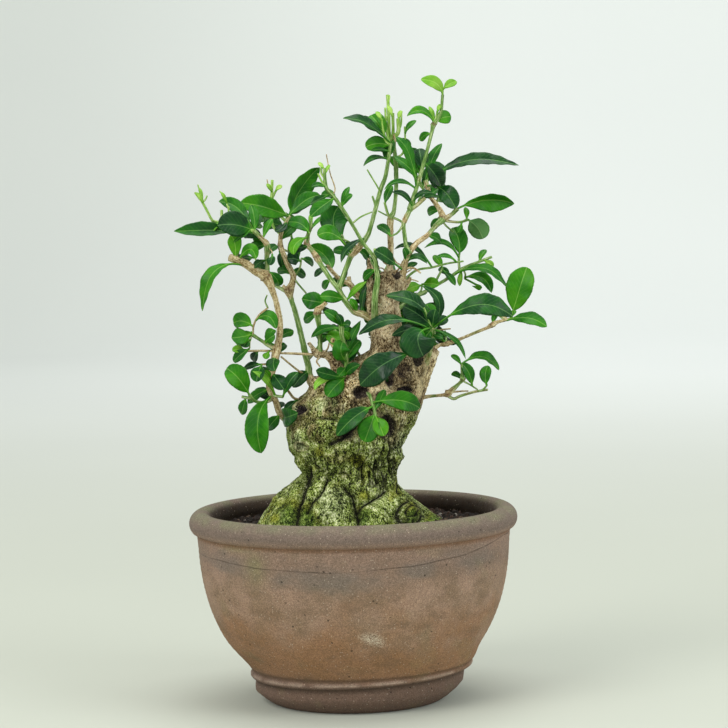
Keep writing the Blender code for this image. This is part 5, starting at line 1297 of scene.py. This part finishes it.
SMALL_LEAVES = {  # x and z of base and tip, width, upward arch, depth of tip, lean, tone
    "leaves_left_crown": (
        (-51.3, 261, -69.9, 262.4, 12.5, 0.5, -12, 15, 0.13),
        (-51, 260.5, -62, 253, 3.5, 0, -6, 40, 0.35), (-49.6, 259, -52, 273.5, 5, 0.5, 8, 10, 0.3),
        (-45, 255, -40.5, 265.5, 4, 0.5, 4, 30, 0.5),
        (-60, 246.8, -63.5, 256.7, 7, 0.6, -4, 15, 0.62),
        (-58.5, 245, -49.5, 243.5, 6, 4.5, -6, 20, 0.5),
        (-44.8, 243, -51, 238.5, 4, 0.5, -8, 30, 0.1),
        (-38.6, 279.6, -34.5, 283.3, 2.4, 0.4, 2, 20, 0.95),
        (-30, 267.8, -13.9, 278, 8, 1.5, 4, 25, 0.3),
        (-9.8, 275.8, -20.2, 273, 4.4, 0.5, 8, 40, 0.2),
        (-26.5, 256.8, -29.3, 245.4, 5.5, 0, -8, 20, 0.6),
        (-20.5, 250, -32, 246.7, 5.4, 0.5, -8, 30, 0.1),
        (-25.1, 242.9, -18, 239.5, 4.8, 0.6, 6, 40, 0.2),
        (-25, 241, -33, 243, 7.4, 1, -4, 20, 0.12),
        (-20.4, 256.2, -32, 263.3, 7.4, 2.5, 6, 20, 0.32),
        (-31, 262, -39, 258.5, 5.2, 0, -8, 35, 0.12),
        (-43.6, 250.6, -55, 247.5, 6, 1, 10, 25, 0.3), (-44, 244, -38, 251, 5, 1, 9, 25, 0.25),
        (-36, 253, -27, 262, 6, 1, 9, 20, 0.28), (-31, 236, -22.6, 233, 5, 1, 8, 25, 0.25),
        (-46, 254, -58, 257.6, 6.5, 1.5, 12, 25, 0.2),
        (-40, 236, -38.2, 227.6, 5.6, 0.4, 8, 20, 0.34),
        (-37.4, 247, -35.4, 238.4, 4.8, 0.4, -6, 20, 0.1),
        (-39, 245, -43, 240, 4.4, 0.4, -5, 25, 0.16),
        (-29.8, 234, -39, 236.4, 5, 1.5, 10, 20, 0.3),
        (-50.6, 258.6, -47, 268, 5.5, 0.5, 12, 20, 0.25),
        (-34, 260, -46, 262.6, 7, 1, 10, 25, 0.22),
        (-68.8, 264.4, -74, 258.6, 3.6, 0.5, -4, 30, 0.7),
        (-62, 263.4, -57.6, 269, 3.6, 0.5, 5, 25, 0.6),
        (-77.6, 274, -81.6, 280.6, 2, 0.3, -2, 20, 0.85),
        (-78.2, 275, -80, 283.6, 1.9, 0.3, 2, 20, 0.9),
        (-65, 274, -68, 280.4, 1.9, 0.3, -2, 20, 0.8),
        (-40, 279, -43, 284.4, 2.2, 0.3, -2, 20, 0.8),
    ),
    "leaves_left_low": (
        (-53.5, 206.5, -63.5, 208.5, 8, 2, 4, 20, 0.4),
        (-53.5, 203.5, -62.5, 197, 7, 0, 8, 20, 0.35),
        (-52.3, 210.5, -39.5, 205, 6.4, 4.5, -6, 25, 0.35),
        (-45, 199, -41, 205, 4.6, 0.4, 4, 20, 0.4),
        (-46.5, 196.5, -40.5, 201.5, 5.6, 0.6, -4, 20, 0.38),
        (-55, 200, -58, 195, 5.2, 0, -4, 20, 0.22),
        (-56.5, 194, -64.2, 193.5, 3.8, 0.4, -4, 15, 0.75),
        (-54.6, 194, -64, 187.3, 5.2, 0.5, 4, 25, 0.25),
        (-50, 193, -53.4, 187.4, 4.6, 0, 6, 20, 0.06),
        (-44, 193, -46.5, 188.5, 3.6, 0, -4, 20, 0.6),
        (-48, 185.5, -58.5, 183.5, 3.8, 0.6, 4, 30, 0.08),
        (-48, 185.5, -51.5, 176, 7, 0.4, -6, 20, 0.2),
        (-42.5, 190, -41, 182, 6.8, 0, -9, 15, 0.24), (-42, 164, -52.3, 172.5, 6, 1, 8, 20, 0.15),
        (-42.4, 168, -45.5, 172.6, 4, 0.4, 5, 20, 0.1),
        (-39.5, 157.4, -46.3, 149.6, 6.4, 0, -6, 20, 0.24),
        (-39.6, 152.8, -30, 158, 9.2, -0.8, -22, 5, 0.2),
        (-29, 165.8, -36.4, 160, 4.4, 0, -6, 25, 0.2), (-39.6, 160, -37, 165, 4, 0.3, 6, 20, 0.08),
        (-40.4, 170, -52.8, 182, 3.6, 1.2, -9, 20, 0.72),
        (-43.5, 177, -47, 181.6, 3.8, 0.4, -6, 20, 0.62),
        (-42.6, 180.8, -36.2, 171.6, 7.6, 0, -7, 15, 0.12),
        (-35.8, 169, -28.4, 181, 5.4, -1.2, -3, 25, 0.2),
        (-19.8, 180.8, -31.4, 172.6, 6.6, 1.8, -9, 15, 0.12),
        (-8.6, 176.8, -17.6, 181.2, 6, 0.5, -15, 15, 0.14),
        (-9, 180.6, -19.6, 171.6, 3.8, 0.5, -17, 20, 0.78),
        (-4.6, 178.4, 5.4, 184.2, 5, 0.4, -11, 20, 0.2), (-44.4, 172, -57, 164, 5, 1, 10, 20, 0.3),
        (-38.6, 199, -29.6, 203.6, 5, 1, 12, 20, 0.3),
        (-42.6, 182, -53.6, 178.6, 5.6, 1, 12, 25, 0.25),
        (-40.6, 190, -34.6, 197, 5, 0.5, 10, 20, 0.25), (-57, 167.4, -60.4, 158, 5, 0, 6, 20, 0.3),
    ),
    "leaves_center": (
        (-5.1, 274.3, -13.9, 277.7, 5, 1.5, 6, 30, 0.25),
        (-6.5, 275, -19.6, 266.2, 7.4, 0.5, -8, 30, 0.35),
        (-2.4, 271, 2, 282, 3.2, 0.4, 4, 20, 0.4), (-2, 271, 3.6, 277.5, 3.6, 0.8, -3, 30, 0.3),
        (-10.8, 281, -18.8, 282, 3.4, 1.5, -4, 40, 0.25), (9.5, 254, -4, 240.5, 4, 2, -8, 35, 0.1),
        (-11, 238.6, -18.2, 233, 3.4, 0.5, -5, 30, 0.15),
        (-20.6, 258, -10.8, 266.9, 2.4, -0.6, 4, 30, 0.5),
        (-19.7, 260, -18.7, 268.4, 2.4, 0.2, 3, 20, 0.7),
        (-2.6, 219.6, -15, 222.2, 6.2, 0.8, -9, 10, 0.4),
        (-1.5, 219, 10.2, 230, 3.4, 0.6, -5, 25, 0.62), (7, 212, 10, 228, 4, 0.5, 8, 20, 0.12),
        (5, 212.6, 1, 220.5, 3.6, 0.5, -4, 20, 0.5),
        (-3.6, 206, 0.7, 205.6, 4.4, 0.6, -4, 20, 0.15),
        (-3.4, 205, -6.3, 212, 3.6, 0.5, -5, 20, 0.15), (-4, 205.8, -13, 214, 5.4, 1, -6, 20, 0.3),
        (-4, 204, -21.5, 199.5, 4.4, 2.5, 12, 25, 0.3), (-2, 193, -12, 202, 7.4, 0.5, 5, 20, 0.55),
        (-4, 205, -8, 210.5, 3, 0.4, -3, 20, 0.3), (-3.9, 203, 0.4, 198, 3.4, 0.4, 5, 20, 0.5),
        (-1.9, 190, 6.5, 209, 4.4, 0.5, 12, 20, 0.3), (-1.6, 183, -6, 178.4, 5.6, 0, -8, 15, 0.32),
        (-1.8, 187, 6.2, 198, 6.4, 0.6, 6, 20, 0.3),
        (-2.8, 177, -12.6, 167.2, 8.8, 0.6, -10, 10, 0.3),
        (-1.7, 184, 4.6, 195.5, 5.4, 0.4, 9, 20, 0.12),
        (-16.4, 213, -25, 208.6, 5.4, 0.4, 9, 20, 0.3),
        (14.4, 158.6, 19, 170.5, 4.4, 0.4, 3, 15, 0.3),
        (13.6, 156, 18, 144.6, 7.6, 0, -6, 10, 0.6), (13.4, 157, 7, 141.6, 10.6, 0, -3, 10, 0.4),
        (-15.8, 196, -8.6, 203, 5, 0.6, 8, 20, 0.28), (1.6, 243.5, -8, 247.6, 5, 1, 10, 25, 0.25),
        (5.4, 247.4, 12, 241.6, 4.4, 0.8, 9, 25, 0.25),
        (15.6, 236, 8, 230.6, 4.6, 0.6, 9, 25, 0.3), (-9.2, 231, -14, 226, 4, 0.5, 8, 25, 0.3),
    ),
    "leaves_right_crown": (
        (65.6, 262.2, 65.5, 269.4, 3, 0.2, 4, 20, 0.5),
        (63.5, 259.5, 60.5, 255.3, 3.4, 0, -4, 20, 0.3),
        (61.3, 243, 58, 258.5, 9, -1.5, 6, 15, 0.3), (61, 241.5, 42, 248, 3.8, 5.5, -6, 40, 0.3),
        (60, 238.5, 47.5, 242, 2.8, 2.5, -5, 40, 0.35),
        (45, 242.5, 25, 247.5, 4, 3.2, 8, 45, 0.12), (32, 240, 31, 247.5, 3.6, -0.8, -5, 25, 0.3),
        (31.5, 238.6, 44, 239, 3.6, 3.8, -7, 35, 0.24),
        (31, 234, 38.5, 239.6, 3.4, 0.8, 5, 30, 0.14), (52, 236, 47, 243.4, 4, 0.5, 5, 20, 0.55),
        (52, 235, 59, 226.5, 3.6, 0.5, -6, 25, 0.25),
        (40.5, 227.3, 49.8, 227, 6, 0.6, -6, 20, 0.62),
        (40.4, 227, 31.6, 224, 5.6, 0.6, -6, 20, 0.66),
        (46.5, 204, 40.5, 227.3, 5, 6.5, -3, 25, 0.12),
        (36.6, 271, 48, 277.5, 3.2, 3, -5, 35, 0.12),
        (38.5, 272.5, 52, 275, 2.8, 1.8, -8, 35, 0.2),
        (36.4, 270, 25.3, 278.5, 3.4, 2.2, -6, 35, 0.1),
        (21.1, 271.4, 25.5, 282, 4, 0.5, 4, 20, 0.35),
        (38.6, 279.4, 20.5, 280, 3.2, 4, -8, 40, 0.3), (40, 284.4, 26.7, 298, 5, 1, 5, 25, 0.3),
        (41.4, 289, 40.5, 302, 7.4, 0.5, 8, 15, 0.08),
        (43.4, 286, 52.9, 304.7, 5.6, 0.5, 6, 30, 0.26),
        (40.6, 286.6, 33.4, 303, 4, 0.6, 8, 25, 0.25), (52.6, 263, 46, 257.6, 5, 0.4, 8, 25, 0.28),
        (51.4, 267.6, 44, 266, 5, 0.8, 8, 25, 0.3), (43.9, 254, 51.6, 250.4, 5, 0.8, 9, 25, 0.26),
        (42.2, 294, 53, 278.6, 9, -1.5, 22, 15, 0.06),
        (46.2, 275.5, 55, 281.6, 6, 0.8, 9, 25, 0.24),
        (24.2, 254, 16.6, 260.6, 4.6, 0.8, 8, 25, 0.28),
    ),
    "leaves_top": (
        (54.2, 333, 61.9, 337.9, 4.2, -0.6, 4, 20, 0.72),
        (49.4, 315.4, 58.8, 318.5, 7, -1, 4, 15, 0.45),
        (48.5, 315.5, 34, 319.6, 4.6, 4.6, -5, 35, 0.5),
        (48.9, 316, 46.5, 324.6, 2.4, 0.4, 3, 20, 0.75),
        (32.6, 310, 39.5, 317, 3, 0.8, 2, 25, 0.4),
        (21.6, 310, 14.4, 320.6, 8.2, 0.5, 6, 15, 0.44),
        (22.4, 309, 19, 320.5, 4.4, 0.5, 5, 20, 0.42),
        (24.6, 303, 11.1, 303, 7.4, 1.6, 3, 20, 0.42),
        (24.2, 300.4, 14, 301.2, 2.8, 0.6, -4, 30, 0.22),
        (23.6, 296, 9.7, 292.9, 3.2, 2.6, -6, 35, 0.2),
        (29.5, 317, 31.4, 322.6, 2.4, 0.2, 2, 20, 0.9),
        (26.5, 319, 23.6, 325.6, 2.4, 0.3, 2, 20, 0.95),
        (27.6, 306, 36.6, 303, 3.6, 1, 5, 25, 0.35),
        (24.4, 326, 24.9, 331.2, 1.4, 0.1, 1, 15, 0.95),
        (47.5, 309.5, 40.6, 305.6, 4, 1, 8, 25, 0.35), (27.4, 307, 21.6, 297, 5.4, 0, -6, 20, 0.3),
        (20.4, 317, 17.6, 322.4, 2.4, 0.2, 2, 20, 0.9),
        (50.9, 320.6, 53, 325.6, 2.2, 0.2, 2, 20, 0.8),
        (-11.5, 291, -14.6, 295.4, 2, 0.2, 2, 20, 0.9),
        (-11.2, 288.6, -8.2, 294, 1.8, 0.2, 2, 20, 0.85),
    ),
    "leaves_front": (
        (46, 203.6, 30, 216, 12, 1, 8, 15, 0.04), (46, 203.4, 23, 200, 6.4, 1.4, 6, 25, 0.08),
        (46, 203.8, 43, 217, 7.4, 0.6, 5, 20, 0.34),
        (46.2, 203.6, 47.5, 213.4, 6.4, 0.4, -5, 15, 0.1),
        (46.3, 203.6, 54.6, 209, 5.4, 0.8, 4, 20, 0.1),
        (46, 202.6, 64.5, 186, 3.2, 3.4, -6, 40, 0.26),
        (45.6, 199, 51.6, 197.6, 3.6, 0.5, -6, 30, 0.2),
        (46, 203.4, 36.4, 192.4, 8, 0, 4, 15, 0.3), (45, 195, 34, 203, 6, 0.6, 8, 20, 0.16),
    ),
    "leaves_right": (
        (64, 230.5, 79, 222, 6.2, 4.4, -7, 30, 0.36),
        (76, 224, 67.7, 225.6, 2.6, 0.4, -3, 30, 0.5), (62.3, 235, 61, 226, 2.8, 0, -4, 20, 0.75),
        (74.6, 239.8, 79.9, 236, 3.2, 0.4, -4, 20, 0.72),
        (68, 172, 61.5, 183.7, 5.8, -0.6, -4, 20, 0.34), (75, 171, 75.6, 182.4, 6, -1, 3, 20, 0.4),
        (61.4, 183, 55.6, 188.6, 3, 0.4, 4, 25, 0.35), (56, 231, 49.6, 236.4, 4, 0.6, 8, 25, 0.3),
        (72, 239, 76, 246, 3.4, 0.4, 5, 25, 0.45), (78.7, 204.5, 81.6, 211.6, 3, 0.4, 4, 20, 0.3),
        (88.6, 207.6, 91.6, 212.4, 2.6, 0.3, 3, 20, 0.5),
        (61.6, 175, 55.6, 178.6, 3.4, 0.4, 5, 25, 0.3),
    ),
}
EVEN_TIP = 0.5325  # how far along a plain blade it is widest

# Leaf pattern: midrib, side veins, a pale margin and clouds, from the blade's own measures. The
# pale margin is in part the leaf's own and in part a painted highlight along its edge.
pattern, given = new_effect("leaf_pattern", Place=None, Across_mm=0.0, Along_mm=0.0, Edge=0.0)
given = given.outputs
out_mm = reckon("ABSOLUTE", given["Across mm"])
drift, broad = (
    add(pattern, "TexNoise", {"Vector": given["Place"], "Scale": size, "Detail": fine}).outputs[0]
    for size, fine in ((260.0, 2.0), (120.0, 3.0))
)
slant = plus(minus(given["Along mm"], times(out_mm, 1.1)), times(drift, 1.6))
end_effect(
    pattern, Midrib=between(out_mm, 0.3, 0.1),
    Vein=between(reckon("SINE", times(slant, 2.5)), 0.8, 1.0),
    Pucker=between(drift, 0.3, 0.7), Margin=between(given["Edge"], 0.92, 1.0),
    Cloud=between(broad, 0.35, 0.65),
)


def leaf_finish(name, roughness, shine):
    """A leaf's skin, glossy green above and paler and duller below."""
    made, tree, shader = new_finish(name, roughness, Specular_IOR_Level=shine)
    marks = {mark: mark_of(tree, mark) for mark in ("across", "along", "edge", "under", "tone")}
    on = use_effect(
        tree, pattern, Place=places(tree), Across_mm=marks["across"], Along_mm=marks["along"],
        Edge=marks["edge"],
    )
    tone = reckon("ADD", marks["tone"], times(minus(on["Cloud"], 0.5), 0.14), clamp=True)
    blade = ramp_of(
        tone, (0.0, "0f2f1a"), (0.16, "164719"), (0.3, "1f640f"), (0.45, "337e0b"),
        (0.62, "4f9414"), (0.8, "7bae36"), (1.0, "a6c95e"),
    )
    line = ramp_of(tone, (0.0, "5c8a54"), (0.4, "7fae4c"), (0.7, "a0cb5c"), (1.0, "c4e58a"))
    below = blend_of(on["Cloud"], "54834a", "648f57")
    below = blend_of(times(on["Midrib"], 0.5), below, "98b880")
    color = layered(
        blade, (times(on["Vein"], 0.1), line), (times(on["Midrib"], 0.6), line),
        # The pale margin: partly the leaf's own colour, partly a painted edge highlight.
        (times(on["Margin"], 0.45), line), (times(marks["under"], 0.75), below),
    )
    dull = times(marks["tone"], 0.2), times(marks["under"], 0.2), times(on["Cloud"], 0.1)
    coat(shader, color, plus(roughness, *dull))
    relief = minus(times(on["Pucker"], 0.3), times(on["Vein"], 0.35))
    raise_surface(shader, plus(relief, on["Cloud"]), 0.14, 0.8)
    return made


leaf_skin = leaf_finish("leathery_leaf", 0.24, 0.17)
old_skin = leaf_finish("old_leaf", 0.2, 0.22)
young_skin = leaf_finish("young_leaf", 0.3, 0.15)


def make_blade(
    start, handle, end, width, lean, stalk, tone, lot, rows, columns=8, flip=False, facing=EYE,
    full=EVEN_TIP, creased=None,
):
    """Points, faces and marks of one leaf facing a point: a thin closed blade on a round stalk."""
    t = np.linspace(0, 1, rows + 1)[:, None]
    middle = start * (1 - t) ** 2 + handle * 2 * t * (1 - t) + end * t ** 2
    along = as_units((handle - start) * (1 - t) + (end - handle) * t)
    level = as_units(np.cross(along, middle - facing))
    away = np.cross(level, along)
    upward = -1.0 if np.cross(end - start, middle[rows // 2] - facing)[2] < 0 else 1.0
    swing = math.radians(lean)
    side = level * upward * math.cos(swing) + away * math.sin(swing)
    face = level * upward * math.sin(swing) - away * math.cos(swing)
    run = np.append(0, np.cumsum(np.linalg.norm(np.diff(middle, axis=0), axis=1)))
    length = run[-1]
    t = t[:, 0]
    share = np.clip((t - stalk) / (1 - stalk), 0, 1)
    slender = width / (length * (1 - stalk))
    blunt = np.interp(slender, (0.2, 0.32, 0.45, 0.6), (0.9, 0.74, 0.58, 0.5))
    swelling = np.sin(np.pi * share ** (math.log(0.5) / math.log(full)))
    half = width / 2 * np.maximum(0, swelling) ** blunt
    tooth = 1 + 0.035 * ((run / 1.7) % 1.0) * fade(share, 0.15, 0.4)
    stem_half = 0.55 * fade(share, 0.75, 0.0) + 0.08
    half = np.hypot(half * tooth, stem_half)
    body = fade(share, 0.02, 0.22)
    u = np.linspace(-1, 1, columns + 1)
    ring = np.concatenate([u, u[-2:0:-1]])
    lower = np.concatenate([np.zeros(columns + 1), np.ones(columns - 1)])
    across = half[:, None] * ring
    crease = 0.2 + 0.12 * math.sin(lot * 40) if creased is None else creased
    fold = crease * np.abs(across) * body[:, None]
    phase = run[:, None] * 2 * math.pi / 7.5 + lot * 20 + 2.0 * np.sign(ring)
    wave = 0.028 * width * np.sin(phase) * ring ** 2
    droop = -0.045 * length * fade(t, 0.55, 1.0)[:, None]
    thick = np.sqrt(np.maximum(0, 1 - ring ** 2))
    top = (0.1 * body + 0.5 * (1 - body))[:, None] * thick
    rib = 0.34 * bell(across, 0.5) * body[:, None] * fade(share, 1.0, 0.6)[:, None]
    bottom = -((0.14 * body + 0.5 * (1 - body))[:, None] * thick + rib)
    groove = -0.12 * bell(across, 0.4) * body[:, None]
    lift = fold + wave * body[:, None] + droop + np.where(lower > 0, bottom, top + groove)
    over = -1.0 if flip else 1.0
    points = middle[:, None] + side[:, None] * across[..., None]
    points = points + face[:, None] * (lift * over)[..., None]
    faces = sheet_faces(rows + 1, 2 * columns) + end_faces(rows + 1, 2 * columns)
    if np.dot(np.cross(side[rows // 2], along[rows // 2]), face[rows // 2]) * over < 0:
        faces = [f[::-1] for f in faces]
    ones = np.ones_like(across)
    stalk_tone = 0.5 * (1 - body[:, None]) * (0.6 - tone)
    marks = {
        "across": across * (9.0 / min(width, 9.0)) ** 0.7, "along": ones * run[:, None],
        "edge": ones * np.abs(ring) * body[:, None], "under": ones * lower,
        "tone": ones * np.clip(tone + stalk_tone, 0, 1),
    }
    return points.reshape(-1, 3), faces, {k: v.ravel() for k, v in marks.items()}


chance = random.Random(7)
for name, (stem, base, through, tip, far, belly, width, lean, stalk, tone) in LEAVES.items():
    depth = nearest_spot(*base, stem)[1]
    start, end = drawn(*base, depth), drawn(*tip, depth + far)
    handle = drawn(*through, depth + far / 2 + belly) * 2 - (start + end) / 2
    points, faces, marks = make_blade(
        start, handle, end, width, lean, stalk, tone, chance.random(), 44, 12,
        name == "leaf_right_under", full=FULL_TIPS.get(name, EVEN_TIP), creased=FOLDS.get(name),
    )
    skin = young_skin if slots[name] == "young_leaf" else old_skin if tone < 0.16 else leaf_skin
    leaf = make_piece(name.replace("_", "-") + "_blade", points, faces, skin, **marks)
    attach(leaf, "root")
    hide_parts(name)

for name, leaves in SMALL_LEAVES.items():
    parts = []
    for x0, z0, x1, z1, width, arch, far, lean, tone in leaves:
        start = nearest_spot(x0, z0)
        depth = start[1]
        end = drawn(x1, z1, depth + far)
        run = np.array((x1 - x0, z1 - z0))
        bow = np.array((-run[1], run[0])) / np.linalg.norm(run) * math.copysign(arch, run[0])
        middle = drawn((x0 + x1) / 2 + bow[0], (z0 + z1) / 2 + bow[1], depth + far / 2 - 1)
        handle = middle * 2 - (start + end) / 2
        length = np.linalg.norm(end - start)
        parts.append(make_blade(
            start, handle, end, width * 1.12, lean, min(0.24, 1.5 / length), tone, chance.random(),
            26 if length > 9 else 14, 6 if width < 5 else 8,
        ))
    points, faces, marks = joined(parts)
    leaf = make_piece(name, points, faces, leaf_skin, **marks)
    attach(leaf, "root")


# More shoots on the far side keep the crown full from every side. They grow backwards from the
# same stems and from the back of the stump, with pairs of leaves. Seen from the front they lie
# behind what stands there, so none is kept that would show past it.
BACK_SHOOTS, BACK_TRIES = 66, 2500
FARTHEST_TIP, LOWEST_TIP, LOWEST_LEAF = 74.0, 118.0, 104.0
CELL, MASK_LEFT, MASK_LOW = 0.75, -130.0, 80.0
MASK_WIDE, MASK_TALL = 350, 370
cover = np.full((MASK_WIDE, MASK_TALL), np.inf)


def cells_of(points):
    """Row and column of the front view's grid in which each point is seen."""
    x, z = seen(points)
    columns = np.clip(((x - MASK_LEFT) / CELL).astype(int), 0, MASK_WIDE - 1)
    return columns, np.clip(((z - MASK_LOW) / CELL).astype(int), 0, MASK_TALL - 1)


def hidden_share(points):
    return (cover[cells_of(points)] < points[:, 1]).mean()


for piece in list(bpy.context.scene.objects):
    hides = piece.name.endswith(("_bark", "_blade", "trunk_old")) or piece.name in SMALL_LEAVES
    if piece.type == "MESH" and hides:
        points = np.empty(len(piece.data.vertices) * 3, np.float32)
        piece.data.vertices.foreach_get("co", points)
        points = points.reshape(-1, 3) * 1000.0 - POT_AXIS
        np.minimum.at(cover, cells_of(points), points[:, 1])
for nearer_or_farther in (np.minimum, np.maximum):  # closes the gaps between the points
    for side in (0, 1):
        cover = nearer_or_farther.reduce([np.roll(cover, shift, side) for shift in (-1, 0, 1)])

chance = random.Random(19)
bearers = [s for name in (*TRUNK_STEMS, *SIDE_STEMS) for s in routes[name][4::7] if s[2] > 160]
_, deep, tall = trunk_points.T
rear = trunk_points[(deep > 7) & (tall > 150) & (tall < 232)]
bearers += [rear[chance.randrange(len(rear))] for _ in range(60)]
stem_parts, leaf_parts = [], []
for _ in range(BACK_TRIES):
    if len(stem_parts) >= BACK_SHOOTS:
        break
    root = np.array(bearers[chance.randrange(len(bearers))])
    heading = (chance.uniform(-0.8, 0.8), chance.uniform(0.5, 1.1), chance.uniform(-0.1, 0.9))
    heading = np.array(heading) / np.linalg.norm(heading)
    length = chance.uniform(11.0, 34.0)
    bend = np.array((chance.uniform(-0.3, 0.3), 0.0, chance.uniform(0.0, 0.4)))
    line = [root + heading * length * t + bend * length * t * t for t in (0.0, 0.35, 0.7, 1.0)]
    line = smooth_line(line, 2.0)
    _, far, up = line[-1]
    if hidden_share(line[:-1]) < 1.0 or far > FARTHEST_TIP or up < LOWEST_TIP:
        continue
    youth = chance.choice((0.0, 0.0, 0.15, 0.3))
    radii, brown = np.linspace(0.85, 0.5, len(line)), ((0, 0.5), (0.4, 0.2), (1, 0.0))
    shoot = make_stem(line, radii, brown, youth, 8, 1.2)
    if hidden_share(shoot[0]) < 0.97:
        continue
    blades = []
    nodes = np.arange(6.0, length + 0.1, chance.uniform(5.5, 8.0))
    first_turn = chance.uniform(0, math.pi)
    flat = np.cross(heading, (0.2, 0.1, 1.0))
    flat /= np.linalg.norm(flat)
    rise = np.cross(flat, heading)
    for number, reach in enumerate([*nodes, length]):
        at = line[min(len(line) - 1, int(reach / length * (len(line) - 1)))]
        spin = first_turn + number * math.pi / 2
        for hand in (1.0, -1.0):
            outwards = hand * (flat * math.cos(spin) + rise * math.sin(spin))
            way = outwards * 0.85 + heading * chance.uniform(0.4, 0.9)
            way = way + np.array((0, 0, chance.uniform(-0.2, 0.4)))
            way /= np.linalg.norm(way)
            long = chance.uniform(9.0, 20.0)
            tip = at + way * long
            handle = at + way * long * 0.5 + np.array((0, 0, chance.uniform(0.5, 2.4)))
            tone = chance.choice((0.08, 0.14, 0.2, 0.28, 0.34, 0.4, 0.48))
            facing = at - (np.array((0.0, 260.0, 420.0)) + heading * 120.0 + outwards * 60.0)
            width, lean = long * chance.uniform(0.38, 0.56), chance.uniform(-20, 20)
            blade = make_blade(
                at, handle, tip, width, lean, 0.12, tone, chance.random(), 20, 6, facing=facing,
            )
            if hidden_share(blade[0]) > 0.975 and blade[0][:, 2].min() > LOWEST_LEAF:
                blades.append(blade)
    if not blades:
        continue
    stem_parts.append(shoot)
    leaf_parts += blades
for name, parts, finish, slot in (
    ("shoots_back", stem_parts, stem_bark, "green_stem"),
    ("leaves_back", leaf_parts, leaf_skin, "leaf"),
):
    points, faces, marks = joined(parts)
    back = make_piece(name, points, faces, finish, **marks)
    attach(back, "root")


# A studio: a wide round table of pale seamless paper that curves up all round, soft lamps and
# an even light from the room. Sizes and places are in metres here.
PAPER_AROUND = 96
paper, tree, shader = new_finish("pale_paper", 0.9)
flat_place = {0: places(tree), 1: (1.0, 1.0, 0.0), 2: (0.0, 1.0, 0.0)}
flat_place = add(tree, "VectorMath", flat_place, operation="MULTIPLY_ADD").outputs[0]
off_lamps = add(tree, "VectorMath", {0: flat_place}, operation="LENGTH").outputs["Value"]
tone = add(tree, "TexNoise", {"Vector": places(tree), "Scale": 1.5, "Detail": 2.0}).outputs[0]
tree.links.new(blend_of(tone, "b7bbae", "c0c4b7"), shader.inputs["Base Color"])
# Painted light: the paper glows, hardly at all near the front and more strongly farther off, and
# more on the right than on the left.
shader.inputs["Emission Color"].default_value = (0.93, 0.97, 1.03, 1.0)
side = add(tree, "SeparateXYZ", {0: places(tree)}).outputs[0]
glow = times(between(off_lamps, 1.2, 3.6, 0.02, 0.48), between(side, -0.8, 0.4, 0.62, 1.0))
tree.links.new(glow, shader.inputs["Emission Strength"])
arc = np.radians(np.linspace(-90, 0, 13))
paper_line = np.vstack([
    [(r, 0.0) for r in (0.01, 0.5, 1.2, 2.0, 2.8)],
    np.stack([3.2 + np.cos(arc), 1 + np.sin(arc)], 1), [(4.2, 1.7)],
])
paper_points = turned(paper_line[:, :1], paper_line[:, 1:], PAPER_AROUND).reshape(-1, 3)
paper_faces = sheet_faces(len(paper_line), PAPER_AROUND)
paper_faces += end_faces(len(paper_line), PAPER_AROUND)[:1]
backdrop_mesh = bpy.data.meshes.new("backdrop")
backdrop_mesh.from_pydata(paper_points.tolist(), [], [face[::-1] for face in paper_faces])
backdrop_mesh.shade_smooth()
backdrop_mesh.materials.append(paper)
backdrop = bpy.data.objects.new("backdrop", backdrop_mesh)
bpy.context.scene.collection.objects.link(backdrop)

for name, place, aim, size, watts, hue in (
    ("lamp_left", (-1.5, -1.6, 1.7), (0, 0, 0.2), 1.4, 37, (1.0, 0.99, 0.96)),
    ("lamp_right", (1.7, -1.2, 1.3), (0, 0, 0.2), 1.2, 20, (0.95, 0.98, 1.0)),
    ("lamp_top", (0.1, 0.1, 2.3), (0, 0, 0), 1.6, 29, (1.0, 1.0, 1.0)),
):
    lamp = bpy.data.lights.new(name, "AREA")
    lamp.size, lamp.energy, lamp.color = size, watts, hue
    held = bpy.data.objects.new(name, lamp)
    held.location = place
    held.rotation_euler = (Vector(aim) - Vector(place)).to_track_quat("-Z", "Y").to_euler()
    bpy.context.scene.collection.objects.link(held)
world = bpy.data.worlds.new("pale_room")
world.use_nodes = True
room = world.node_tree.nodes["Background"].inputs
room["Color"].default_value, room["Strength"].default_value = (0.87, 0.90, 0.88, 1.0), 0.55
bpy.context.scene.world = world
bpy.context.scene.view_settings.view_transform = "Standard"

# The camera stands where the photograph was taken, looking slightly down.
YAW, PITCH, ROLL = 0.00526, 0.06841, -0.0225
PHOTO_SIDE, FOCAL_LENGTH = 728, 2743.28  # in pixels
forward = Vector((
    math.sin(YAW) * math.cos(PITCH), math.cos(YAW) * math.cos(PITCH), -math.sin(PITCH),
))
right = Vector((math.cos(YAW), -math.sin(YAW), 0.0))
upward = right.cross(forward)
rolled = right * math.cos(ROLL) + upward * math.sin(ROLL)
upward = upward * math.cos(ROLL) - right * math.sin(ROLL)
lens = bpy.data.cameras.new("camera")
lens.sensor_width = 36.0
lens.lens = lens.sensor_width * FOCAL_LENGTH / PHOTO_SIDE
camera = bpy.data.objects.new("camera", lens)
pose = Matrix((rolled, upward, -forward)).transposed().to_4x4()
camera.matrix_world = Matrix.Translation((-0.0079, -1.5, 0.28721)) @ pose
bpy.context.scene.collection.objects.link(camera)
bpy.context.scene.camera = camera
